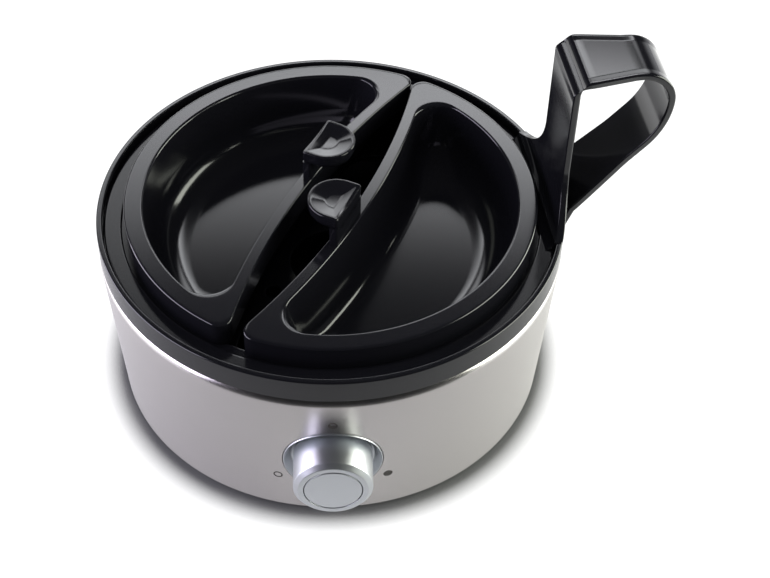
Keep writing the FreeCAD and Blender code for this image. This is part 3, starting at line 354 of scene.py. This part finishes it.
FINISHES = {
    # Brushed stainless sheet: soft upright bands of light with fine level streaks
    "steel_shell": brushed_steel(),
    # ABS from a polished mould, of the collar, carrier, handle and pans: clear reflections
    "black_gloss": finish("polished_black_moulding", "#131317", 0.12),
    # ABS from a satin mould, of the base: a wide faint sheen
    "black_plain": finish("satin_black_moulding", "#1c1c1e", 0.5),
    # Moulding with a sprayed satin metallic lacquer, of the knob: pale, with soft highlights
    "silver_trim": finish("satin_silver_lacquer", "#d3d6da", 0.4, 1.0),
    # Moulded rubber: dull all over
    "foot_rubber": finish("black_rubber", "#151515", 0.8),
    # Sprayed and baked coating of the dish: nearly black, with a broad sheen
    "dish_coating": finish("dark_non_stick_coating", "#0c0c0d", 0.45),
    # Aluminium as it leaves the mould: grey, with blurred highlights
    "cast_alloy": finish("cast_aluminium", "#b5b6b8", 0.5, 1.0),
    # Sheet and wire with a bright zinc plate: half-clear highlights
    "plain_steel": finish("zinc_plated_steel", "#b8b8b8", 0.35, 1.0),
    # Turned brass: yellow, with half-clear highlights
    "brass_pin": finish("plain_brass", "#c9a560", 0.35, 1.0),
    # Moulded silicone: brick red and nearly dull
    "seal_rubber": finish("red_silicone_rubber", "#a3402f", 0.6),
    # Laminate under a green lacquer: smooth, with a soft gloss
    "board_green": finish("glass_fibre_board", "#1f5c35", 0.4),
    # Moulded and sleeved cases of electrical components: plain colours with a soft sheen
    "component_black": finish("black_component_case", "#222225", 0.5),
    "component_blue": finish("blue_component_case", "#2c4a86", 0.4),
    # Glazed ceramic: off-white and shiny
    "ceramic_white": finish("glazed_ceramic", "#e4e0d6", 0.3),
    # Woven sleeving: cream and dull
    "wire_sleeve": finish("glass_fibre_sleeving", "#d8d2c4", 0.7),
}


# Drum, collar, foot, dish, knob and printed dots


def make_drum():
    """Brushed drum, collar, foot and dish, each a profile of corners (radius, height, rounding)
    turned about the axis. The holes for the knob and the cord are then cut in the drum."""
    sleeve = turned(rounded([
        (DRUM_FOOT, SLEEVE_LOW, 0),
        (DRUM_TOP, SLEEVE_HIGH, 3.2),
        (TURNED_IN, SLEEVE_HIGH, 0.3),
        (TURNED_IN, SLEEVE_HIGH - SHEET, 0),
        (DRUM_TOP - SHEET, SLEEVE_HIGH - SHEET, 2.4),
        (DRUM_FOOT - SHEET, SLEEVE_LOW, 0),
    ]), count=384)
    drum = piece("drum_shell", [sleeve], "base", "steel_shell", "body_sleeve")
    knob_hole = onto_knob(bar(BEZEL_RADIUS + HOLE_ROOM, HOLE_NEAR, HOLE_FAR, 128))
    points, faces = bar(CORD_RADIUS + HOLE_ROOM, HOLE_NEAR, HOLE_FAR, 64)
    cord_hole = np.stack((points[:, 0], points[:, 2], points[:, 1] + CORD_HEIGHT), 1), faces
    pierce(drum, [knob_hole, cord_hole])

    collar = turned(rounded([
        (84.7, SLEEVE_HIGH, 0.25),
        (84.7, RIM_TOP, 0.6),
        (82.6, RIM_TOP, 0.5),
        (82.6, LEDGE_TOP, 0.2),
        (79.2, LEDGE_TOP, 0.2),
        (79.2, 62, 0),
        (76.3, 62, 0),
        (76.3, 60, 0),
        (81.2, 60, 0),
        (81.2, SLEEVE_HIGH, 0),
    ]))
    piece("collar_ring", [collar], "base", "black_gloss", "collar")

    foot = turned(rounded([(70, 0, 0.5), (79, 0, 0.6), (79, 3, 0.2), (70, 3, 0.2)]))
    piece("rubber_foot", [foot], "base", "foot_rubber", "foot_ring")

    dish = turned(rounded([
        (0, 32.8, 0),
        (55, 32.8, 3),
        (61.2, 45, 2),
        (75.5, 45, 2),
        (75.5, 63.8, 0.8),
        (78.9, 63.8, 0.2),
        (78.9, 63, 0.2),
        (76.3, 63, 0),
        (76.3, 44.2, 2.5),
        (62, 44.2, 1.5),
        (55.8, 32, 3.5),
        (0, 32, 0),
    ], closed=False), closed=False)
    piece("water_dish", [dish], "base", "dish_coating", "heating_dish")


def make_bezel():
    """Silver ring round the knob, as circles about the knob's axis. Those of its outer edge lie
    on the drum's curve, some way proud of the wall, and those of its back and bottom are flat.
    From the lip a cone sinks to the bottom, where 0.13 of the lip's curve is left."""
    count = 192
    angle = np.arange(count) * TURN / count
    bore, back, bottom = 4.45, 77.2, 78.4
    lip, lip_depth, foot, kept = 16.8, 0.45, 15.0, 0.13

    def flat(radius, distance):
        x, z = radius * np.cos(angle), KNOB_HEIGHT + radius * np.sin(angle)
        return np.stack((x, np.full(count, -distance), z), -1)

    def curved(radius, proud):
        x, z = radius * np.cos(angle), KNOB_HEIGHT + radius * np.sin(angle)
        return on_drum(x, z, BEZEL_PROUD + proud)

    cone_foot = flat(foot, bottom)
    cone_foot[:, 1] += kept * (curved(lip, 0)[:, 1] + lip_depth + bottom)
    rows = [flat(bore, back), flat(BEZEL_RADIUS, back)]
    rows += [curved(radius, proud) for radius, proud in (
        (BEZEL_RADIUS, -1.2), (17.4, -1.1), (17.4, -0.15), (17.3, 0), (17.1, 0), (17.0, -0.12),
        (lip, -lip_depth),
    )]
    rows.append(cone_foot)
    rows += [flat(14.7, bottom + 0.15), flat(14.4, bottom + 0.05), flat(14.0, bottom),
             flat(bore, bottom), flat(bore, back)]
    piece("dial_bezel", [grid(np.array(rows))], "base", "silver_trim", "knob_bezel")


def make_knob():
    """Silver knob and the push button in its end, each a profile of corners (radius, distance
    from the drum's axis, rounding) turned about the knob's axis."""
    knob = onto_knob(turned(rounded([
        (1.68, 69.5, 0),
        (4.4, 69.5, 0),
        (4.4, 88.8, 0),
        (12.2, 88.8, 0),
        (12.2, 79.4, 0.2),
        (13.8, 79.4, 0.3),
        (13.8, 93.4, 0.4),
        (12.2, 95, 0.4),
        (10.25, 95, 0.25),
        (10.25, 90.8, 0),
        (3.2, 90.8, 0),
        (3.2, 86, 0),
        (1.68, 86, 0),
    ]), count=192))
    piece("dial_knob", [knob], "knob", "silver_trim", "knob")
    button = onto_knob(turned(rounded([
        (0, 95, 0),
        (10, 95, 0.35),
        (10, 92.4, 0.2),
        (1.6, 92.4, 0),
        (1.6, 71.05, 0),
        (0, 71.05, 0),
    ], closed=False), closed=False, count=128))
    piece("push_button", [button], "start_button", "silver_trim", "start_button")


def mark(x, z, inner, start, end):
    """Part of a printed dot on the drum: a ring sector from the inner radius to the dot's own,
    between two angles in degrees, a little proud of the wall and sunk a little into it."""
    columns = 49
    angle = np.radians(np.linspace(start, end, columns))
    rows = []
    for radius, proud in ((inner, -MARK_SUNK), (inner, MARK_PROUD),
                          (MARK_RADIUS, MARK_PROUD), (MARK_RADIUS, -MARK_SUNK)):
        rows.append(on_drum(x + radius * np.cos(angle), z + radius * np.sin(angle), proud))
    points, faces = grid(np.array(rows), wrap_rows=True, wrap_columns=False)
    if end - start < 360:
        for column in (0, columns - 1):
            faces.append([row * columns + column for row in range(4)])
    return points, faces


def make_marks():
    """Generic open, half and full dots beside the knob."""
    # Pad-printed ink: dark grey and nearly dull
    printed = finish("dark_grey_print", "#3a3633", 0.5)
    solid = 0.0
    side = MARK_CIRCLE * math.sin(MARK_TURN)
    low = KNOB_HEIGHT + MARK_CIRCLE * math.cos(MARK_TURN)
    top = KNOB_HEIGHT + MARK_CIRCLE
    for name, shells in (
        ("mark_open", [mark(-side, low, MARK_HOLE, 0, 360)]),
        ("mark_half", [mark(0, top, MARK_HOLE, 0, 180), mark(0, top, solid, 180, 360)]),
        ("mark_full", [mark(side, low, solid, 0, 360)]),
    ):
        piece(name, shells, "base", "black_plain", coat=printed)


# Carrier and handle


def plate(radius, holes, low, high, edge):
    """A flat round plate between two heights, with round holes (x, y, radius): a filled curve
    drawn up from the middle to both sides, with its edges rounded."""
    curve = bpy.data.curves.new("plate", "CURVE")
    curve.dimensions = "2D"
    curve.fill_mode = "BOTH"
    for x, y, size in [(0, 0, radius)] + holes:
        count = 192 if size > 30 else 72
        spline = curve.splines.new("POLY")
        spline.points.add(count - 1)
        for index, point in enumerate(spline.points):
            angle = TURN * index / count
            point.co = (x + size * math.cos(angle), y + size * math.sin(angle), 0, 1)
        spline.use_cyclic_u = True
    curve.offset = -edge
    curve.extrude = (high - low) / 2 - edge
    curve.bevel_depth = edge
    curve.bevel_resolution = 2
    thing = placed("plate", curve)
    mesh = applied(thing)
    points = np.array([vertex.co for vertex in mesh.vertices]) + (0, 0, (low + high) / 2)
    faces = [list(face.vertices) for face in mesh.polygons]
    bpy.data.objects.remove(thing)
    bpy.data.meshes.remove(mesh)
    return points, faces


def make_carrier():
    """Rim, pan seat and wall as one profile turned about the axis, and the floor with seven egg
    seats and, between them, six steam holes."""
    wall = turned(rounded([
        (82.2, LEDGE_TOP, 0.2),
        (82.2, CARRIER_TOP, 0.7),
        (76, CARRIER_TOP - 0.2, 0.5),
        (76, PAN_SEAT, 0.2),
        (71.8, PAN_SEAT, 0.6),
        (71.8, 47, 0),
        (72.2, 46, 0),
        (73.6, 46, 0.8),
        (73.6, LEDGE_TOP, 0.5),
    ]))
    holes = [(0, 0, EGG_RADIUS)]
    ring = 6
    for number in range(ring):
        angle = TURN * number / ring
        holes.append((EGG_CIRCLE * math.cos(angle), EGG_CIRCLE * math.sin(angle), EGG_RADIUS))
        angle += TURN / ring / 2
        holes.append((STEAM_CIRCLE * math.cos(angle), STEAM_CIRCLE * math.sin(angle),
                      STEAM_RADIUS))
    floor = turned_by(plate(72.4, holes, 46, 48, 0.3), HANDLE_BEARING)
    piece("carrier_basket", [wall, floor], "carrier", "black_gloss", "carrier")


def strap_path():
    """The handle's centre line as rows of (radius, height, outward radius, outward height,
    half width, inner depth, outer depth, roundness). It rises upright from the rim, where its
    sides draw in along an arc and its inside runs out along another. It bends over to a level
    top, goes round the nose in two arcs, slopes back straight, and ends in the rim. Roundness
    is 1 where the strap is as curved as the drum, and 0 where it is flat. Behind the collar's
    lip its outer side stays inside the collar."""
    flare, flare_start = 20.0, 80
    foot, foot_rise = 3.2, 6.6
    behind_lip = -1.2
    upright_start, top, shoulder = 99, 133.4, 3.8
    nose_start, nose, chin, lean = 105.6, 12, 28.5, -41.2
    slope_start, slope_end = np.array((110.54, 102.63)), np.array((87.4, 76.2))
    tuck_radius, tuck_height, tuck, tuck_thinner = 80.8, 72, 5, 0.8
    rows = []

    def foot_depth(height):
        low = max(0.0, 1 - (height - CARRIER_TOP) / foot_rise)
        return STRAP_THICK + foot * (1 - math.sqrt(1 - low * low))

    flat = (STRAP_HALF, STRAP_THICK, STRAP_THICK)
    widest = STRAP_HALF + flare * (1 - math.cos(math.radians(flare_start)))
    for height in (CARRIER_TOP - 0.4, CARRIER_TOP, 74.0, 75.0, 76.0, RIM_TOP + 0.25):
        depth = foot_depth(max(height, CARRIER_TOP))
        rows.append((STRAP_CENTRE, height, 1, 0, widest, depth, behind_lip, 1))
    for angle in np.radians(np.linspace(flare_start, 0, 26)):
        height = RIM_TOP + flare * (1 - math.sin(angle))
        half = STRAP_HALF + flare * (1 - math.cos(angle))
        rows.append((STRAP_CENTRE, height, 1, 0, half, foot_depth(height), STRAP_THICK, 1))
    for height in np.linspace(upright_start, top - shoulder, 10):
        rows.append((STRAP_CENTRE, height, 1, 0, *flat, 1))
    for share in np.linspace(0, 1, 11)[1:]:
        out, up = math.cos(share * TURN / 4), math.sin(share * TURN / 4)
        rows.append((STRAP_CENTRE + shoulder * (1 - out), top - shoulder * (1 - up), out, up,
                     *flat, 1 - share))
    for reach in np.linspace(STRAP_CENTRE + shoulder, nose_start, 9)[1:]:
        rows.append((reach, top, 0, 1, *flat, 0))
    for angle in np.radians(np.linspace(90, 0, 15))[1:]:
        out, up = math.cos(angle), math.sin(angle)
        rows.append((nose_start + nose * out, top - nose * (1 - up), out, up, *flat, 0))
    for angle in np.radians(np.linspace(0, lean, 13))[1:]:
        out, up = math.cos(angle), math.sin(angle)
        rows.append((nose_start + nose - chin * (1 - out), top - nose + chin * up, out, up,
                     *flat, 0))
    for share in np.linspace(0, 1, 13)[1:]:
        rows.append((*(slope_start + (slope_end - slope_start) * share), out, up, *flat, share))
    for share in np.linspace(0, 1, 7)[1:]:
        angle = math.radians(lean) * (1 - share)
        out, up = math.cos(angle), math.sin(angle)
        thin = STRAP_THICK - tuck_thinner * share
        rows.append((tuck_radius + tuck * out, tuck_height + tuck * up, out, up,
                     STRAP_HALF, thin, thin, 1))
    return rows


def taper(radius):
    """How much narrower each side of the strap is beyond a radius: 2.5 mm less at 104 mm."""
    return 2.5 * float(np.clip((radius - 88) / 16, 0, 1))


def make_handle():
    """Loop handle: a flat strap, 0.2 mm hollow between its outer edges, carried along its path.
    Where it is as round as the drum, a point's x is the root of its distance squared less its
    sideways place squared."""
    half, thick = STRAP_HALF, STRAP_THICK
    edge, floor, slope = 1.3, 1.1, 2.2
    section = rounded([
        (-half, -thick, 0.6),
        (half, -thick, 0.6),
        (half, thick, 0.6),
        (half - edge, thick, 3),
        (half - edge - slope, floor, 6),
        (-half + edge + slope, floor, 6),
        (-half + edge, thick, 3),
        (-half, thick, 0.6),
    ], guard=0.25)
    side, out = section[:, 0], section[:, 1]
    rows = []
    for radius, height, out_r, out_z, width, inner, outer, curved in strap_path():
        width -= taper(radius) if curved < 1 else 0
        across = side + np.sign(side) * (width - half)
        depth = out * np.where(out < 0, inner, outer) / thick
        far = radius + depth * out_r
        bent = np.sqrt(far**2 - across**2)
        x = far + (bent - far) * curved
        z = height + depth * out_z
        rows.append(np.stack((x, across, z), -1))
    strap = turned_by(capped(np.array(rows)), HANDLE_BEARING)
    piece("loop_handle", [strap], "carrier", "black_gloss", "handle")


# Pans


def kidney(rim, bow, corner):
    """Outline of a pan: an arc of radius rim about the drum's axis, an arc of radius bow about a
    point beyond the trough, and at each end a corner arc that touches both. A corner's centre is
    rim - corner from the first centre and bow + corner from the second."""
    near, far = rim - corner, bow + corner
    up = (far**2 - near**2 - BOW_AWAY**2) / (2 * BOW_AWAY)
    side = math.sqrt(near**2 - up**2)
    outer = math.atan2(up, side)
    inner = math.atan2(up + BOW_AWAY, side)
    return np.concatenate((
        arc(0, 0, rim, outer, math.pi - outer, 96, last=False),
        arc(-side, up, corner, math.pi - outer, TURN - inner, 18, last=False),
        arc(0, -BOW_AWAY, bow, math.pi - inner, inner, 56, last=False),
        arc(side, up, corner, inner - math.pi, outer, 18, last=False),
    ))


def pan_outline(spread, height):
    """One level line of a pan. Spread is how far it is outside the well's mouth at the rim: the
    mouth is 0, the flange's edge is its width, and the well's wall and floor are below 0. Over
    the flange it goes evenly from the mouth to the edge."""
    if spread <= 0:
        line = kidney(PAN_RADIUS - FLANGE_OUTER + spread,
                      PAN_BOW + FLANGE_INNER - spread * WELL_BOW_SHARE,
                      WELL_CORNER + spread * WELL_CORNER_SHARE)
    else:
        mouth = kidney(PAN_RADIUS - FLANGE_OUTER, PAN_BOW + FLANGE_INNER, WELL_CORNER)
        edge = kidney(PAN_RADIUS, PAN_BOW, PAN_CORNER)
        line = mouth + (edge - mouth) * spread / FLANGE_OUTER
    return at_height(line, height)


def dee(inset, back_inset, height):
    """Level line of the grip's scoop: straight at the back, half a circle at the front. The
    corners are a fifth of the distance from the back to the half circle's centre. Near the top
    the back dips in the middle, by the square of the distance from there."""
    low, high = GRIP_START + inset, GRIP_START + GRIP_LENGTH - inset
    back = GRIP_BACK - back_inset
    half = (high - low) / 2
    corner = (back - GRIP_SHOULDER) / 5
    guard = corner * 0.3
    top, dip_depth = FLANGE_TOP + GRIP_HEIGHT, 4
    line = np.concatenate((
        arc(high - corner, back - corner, corner, 0, TURN / 4, 7),
        np.stack((np.linspace(high - corner - guard, low + corner + guard, 13),
                  np.full(13, back)), -1),
        arc(low + corner, back - corner, corner, TURN / 4, TURN / 2, 7),
        [(low, back - corner - guard)],
        arc(low + half, GRIP_SHOULDER, half, TURN / 2, TURN, 41),
        [(high, back - corner - guard)],
    ))
    across = (line[:, 0] - low - half) / half
    towards = np.clip((line[:, 1] - GRIP_SHOULDER) / (GRIP_BACK - GRIP_SHOULDER), 0, 1)
    near_top = max(0.0, 1 - (top - height) / dip_depth)
    return at_height(line, height - GRIP_DIP * (1 - across**2) * towards * near_top)


def make_pan(name, bearing, node):
    """Pan: underside, skirt, flange and well as level lines of one surface, the grip's scoop as
    level lines down its outside and back up its inside, and the web under its back. Profiles
    are corners (spread or inset, height, rounding)."""
    section = rounded([
        (-20, 53.7, 0),
        (-2.1, 53.7, 14),
        (1.8, 79.3, 1),
        (4.9, 79.3, 0.5),
        (4.9, PAN_SEAT, 0.2),
        (6.9, PAN_SEAT, 0.3),
        (6.9, FLANGE_TOP, 0.7),
        (0, FLANGE_TOP, 1.0),
        (-3.9, 55.5, 13),
        (-20, 55.5, 0),
    ], closed=False)
    dish = capped(np.array([pan_outline(spread, height) for spread, height in section]))

    top = FLANGE_TOP + GRIP_HEIGHT
    low = top - 7
    lip, back_share = 1.3, 0.6
    web_low, web_high = 80, low + 2
    outer = rounded([(7, low, 0), (0, low, 4.5), (0, top - 1, 0)], closed=False)
    inner = rounded([
        (0, top - 1, 0),
        (0, top, 0.5),
        (1.2, top, 2),
        (6.2, top - 1.5, 4),
        (7, top - 1.55, 0),
    ], closed=False)
    rows = [dee(inset, 0, height) for inset, height in outer[:-1]]
    # Inside the lip the scoop's back wall comes in less than its front does
    rows += [dee(inset, min(inset, lip + (inset - lip) * back_share), height)
             for inset, height in inner]
    scoop = capped(np.array(rows))

    corner = 0.8
    end = GRIP_START + GRIP_LENGTH
    line = rounded([
        (GRIP_START, GRIP_BACK - GRIP_WEB, corner),
        (end, GRIP_BACK - GRIP_WEB, corner),
        (end, GRIP_BACK, corner),
        (GRIP_START, GRIP_BACK, corner),
    ])
    web = capped(np.array([at_height(line, height) for height in (web_low, web_high)]))
    shells = [turned_by(shell, bearing) for shell in (dish, scoop, web)]
    piece(name, shells, node, "black_gloss", node)


# Camera, floor, surroundings and lamps


def camera():
    """The camera looks from 560 mm away, 43.66 degrees up, at a point on the drum's axis 73 mm
    up, and is then turned so that this point comes aim_x and aim_y pixels from the picture's
    centre. The focal length is in pixels too."""
    focal, picture_width, sensor = 1531.16, 770, 36.0
    aim_x, aim_y = -53.58455, -77.75867
    target, distance = Vector((0, 0, 0.073)), 0.56
    roll = math.radians(0.30950)
    rise = math.radians(43.65969)
    back = Vector((0, -math.cos(rise), math.sin(rise)))
    right = Vector((1, 0, 0))
    up = right.cross(-back)
    level = Matrix((right, up, -back))
    spin = Matrix(((math.cos(roll), -math.sin(roll), 0), (math.sin(roll), math.cos(roll), 0),
                   (0, 0, 1)))
    axis = Vector((aim_x, -aim_y, focal)).normalized()
    turn = Vector((0, 0, 1)).rotation_difference(axis).to_matrix()
    rows = turn @ spin @ level
    data = bpy.data.cameras.new("camera")
    data.sensor_width = sensor
    data.lens = focal / picture_width * sensor
    data.clip_start = 0.01
    thing = placed("camera", data)
    columns = Matrix((rows[0], rows[1], -rows[2])).transposed()
    thing.matrix_world = Matrix.Translation(target + back * distance) @ columns.to_4x4()
    bpy.context.scene.camera = thing


def lamp(name, bearing, rise, distance, width, height, strength, colour, shines=True):
    """A flat soft lamp that faces the boiler's middle. Bearing 0 is behind it, 90 to its right;
    distance, width and height are in metres; strength is how bright its surface is, where 1 is
    white. Where shines is off, shiny surfaces don't mirror it."""
    data = bpy.data.lights.new(name, "AREA")
    data.shape = "RECTANGLE"
    data.size, data.size_y = width, height
    data.energy = strength * math.pi * width * height
    data.color = linear(colour)[:3]
    thing = placed(name, data)
    angle, up = math.radians(bearing), math.radians(rise)
    middle = Vector((0, 0, 0.06))
    way = Vector((math.sin(angle) * math.cos(up), math.cos(angle) * math.cos(up), math.sin(up)))
    thing.location = way * distance + middle
    thing.rotation_euler = way.to_track_quat("Z", "Y").to_euler()
    thing.visible_glossy = shines


def ramp(tree, value, start, end, first, last):
    """A value that goes evenly from first to last while another goes from start to end, and
    stays at first before that and at last after it."""
    return add(tree, "MapRange", {
        "Value": value, "From Min": start, "From Max": end, "To Min": first, "To Max": last,
    }).outputs[0]


def times(tree, *values):
    """The product of some values."""
    result = values[0]
    for value in values[1:]:
        result = add(tree, "Math", {0: result, 1: value}, operation="MULTIPLY").outputs[0]
    return result


def make_floor():
    """White paper. The boiler's finishes see it dim, with painted shade and painted light: painted
    nearly dark more than
    150 mm in front of the axis, and glowing brighter, a painted light, to the back and past the
    boiler's sides. The camera sees it glow up to plain white, less the closer it is to the
    boiler's foot, which paints a contact shadow over the faint real one. Distances are in metres
    from the axis."""
    size, front = 6.0, 0.5
    # Where the painted shade in front ends, where the painted glow grows to the back and past the
    # sides, and the reach of the painted contact shadow
    painted_dark_front, to_back, past_side = (-0.16, -0.15), (-0.14, 0.1), (0.135, 0.155)
    contact = 0.012
    data = bpy.data.meshes.new("floor")
    data.from_pydata([(-size, -front, 0), (size, -front, 0), (size, size, 0), (-size, size, 0)],
                     [], [(0, 1, 2, 3)])
    floor = placed("floor", data)
    material = bpy.data.materials.new("white_paper")
    material.use_nodes = True
    tree = material.node_tree
    tree.nodes.clear()
    seen = add(tree, "LightPath").outputs["Is Camera Ray"]
    spot = add(tree, "NewGeometry").outputs["Position"]
    spot = add(tree, "SeparateXYZ", {0: spot})
    back = spot.outputs["Y"]
    aside = add(tree, "Math", {0: spot.outputs["X"]}, operation="ABSOLUTE").outputs[0]
    # Painted shade: rays other than the camera's see the paper nearly dark in front of the boiler
    lit = ramp(tree, back, *painted_dark_front, 0.1, 1)
    # A Mix node's inputs 0, 2 and 3 are the share, the value at 0 and the value at 1
    shade = add(tree, "Mix", {0: seen, 2: times(tree, lit, 0.4), 3: 0.15}).outputs[0]
    paper = add(tree, "BsdfDiffuse", {"Color": shade})
    # Painted contact shadow: the glow that the camera sees fades with ambient occlusion near the
    # boiler's foot
    near = add(tree, "AmbientOcclusion", {"Distance": contact}).outputs["AO"]
    white = ramp(tree, near, 0.57, 0.97, 0, 1)
    # Painted light: the floor glows for rays other than the camera's, more to the back and past
    # the boiler's sides
    fill = times(tree, lit, ramp(tree, back, *to_back, 0.17, 0.42),
                 ramp(tree, aside, *past_side, 1, 3.6))
    level = add(tree, "Mix", {0: seen, 2: fill, 3: white}).outputs[0]
    glow = add(tree, "Emission", {"Color": (1, 1, 1, 1), "Strength": level})
    both = add(tree, "AddShader", {0: paper.outputs[0], 1: glow.outputs[0]})
    out = add(tree, "OutputMaterial")
    tree.links.new(both.outputs[0], out.inputs["Surface"])
    data.materials.append(material)


def make_world():
    """White for the camera, even light for dull surfaces, and for shiny ones a dark room. The
    room has a pale horizon, brighter to the right and the back, a lit wall behind the boiler
    that fades in from the floor up, and high above it a long bright panel that fades upwards.
    Each is a product of ramps over the ray's direction, whose upward part is the sine of its
    rise: 0.5 is 30 degrees up and 0.7 is 44 degrees."""
    dull_level, dark_level = 0.45, 0.02
    world = bpy.data.worlds.new("studio")
    bpy.context.scene.world = world
    world.use_nodes = True
    tree = world.node_tree
    background = tree.nodes["Background"]
    way = add(tree, "TexCoord").outputs["Generated"]
    split = add(tree, "SeparateXYZ", {0: way})
    right, back, up = (split.outputs[axis] for axis in "XYZ")
    aside = add(tree, "Math", {0: right}, operation="ABSOLUTE").outputs[0]
    panel = times(
        tree,
        # Brightness, from the lower part to the upper edge, then the lower and upper edges
        ramp(tree, up, 0.63, 0.70, 7.0, 1.1),
        ramp(tree, up, 0.606, 0.611, 0, 1),
        ramp(tree, up, 0.700, 0.708, 1, 0),
        # Ends on both sides, dimmer on the left, and only behind the boiler
        ramp(tree, aside, 0.36, 0.42, 1, 0),
        ramp(tree, right, -0.15, 0, 0.72, 1),
        ramp(tree, back, 0, 0.1, 0, 1),
    )
    wall = times(
        tree,
        ramp(tree, up, -0.02, 0.1, 0, 2.8),
        ramp(tree, up, 0.50, 0.57, 1, 0),
        ramp(tree, aside, 0.3, 0.4, 1, 0),
        ramp(tree, back, 0, 0.1, 0, 1),
    )
    horizon = times(
        tree,
        ramp(tree, up, 0.1, 0.3, 1, 0),
        ramp(tree, right, -0.2, 0.2, 0.2, 0.9),
        ramp(tree, back, -0.4, 0.3, 0, 1),
    )
    room = dark_level
    for light in (panel, wall, horizon):
        room = add(tree, "Math", {0: light, 1: room}, operation="ADD").outputs[0]
    path = add(tree, "LightPath")
    shiny = add(tree, "Math", {
        0: path.outputs["Is Glossy Ray"], 1: path.outputs["Is Transmission Ray"],
    }, operation="MAXIMUM").outputs[0]
    lit = add(tree, "Mix", {0: shiny, 2: dull_level, 3: room}).outputs[0]
    seen = add(tree, "Mix", {0: path.outputs["Is Camera Ray"], 2: lit, 3: 1.0}).outputs[0]
    tree.links.new(seen, background.inputs["Strength"])
    # The light is a little blue, and what the camera sees is plain white
    red = ramp(tree, path.outputs["Is Camera Ray"], 0, 1, 0.95, 1)
    green = ramp(tree, path.outputs["Is Camera Ray"], 0, 1, 0.965, 1)
    tint = add(tree, "CombineColor", {0: red, 1: green, 2: 1.0})
    tree.links.new(tint.outputs[0], background.inputs["Color"])


def make_stage():
    """White floor with a contact shadow, partly painted, and painted shade and light for the
    boiler's reflections, white surroundings, a cool panel on the left, a warm one on the right and
    a wide one overhead that only dull surfaces show."""
    make_floor()
    make_world()
    lamp("left_panel", 262, 14, 0.55, 0.62, 0.34, 6.0, "#efeaff")
    lamp("right_panel", 91, 14, 0.55, 0.62, 0.34, 7.5, "#fbfff2")
    lamp("top_panel", 20, 75, 1.5, 1.0, 1.0, 1.6, "#ffffff", shines=False)
    bpy.context.scene.view_settings.view_transform = "Standard"


def dress_frame():
    """Gives the CAD nodes that stay in view the finishes of their slots."""
    for part in frame["record"]["subparts"]:
        mesh = frame["nodes"][part["node"]].data
        mesh.materials.clear()
        mesh.materials.append(FINISHES[part["material_slot"]])


dress_frame()
make_drum()
make_bezel()
make_knob()
make_marks()
make_carrier()
make_handle()
make_pan("poaching_pan_left", LEFT_BEARING, "pan_left")
make_pan("poaching_pan_right", RIGHT_BEARING, "pan_right")
make_stage()
camera()
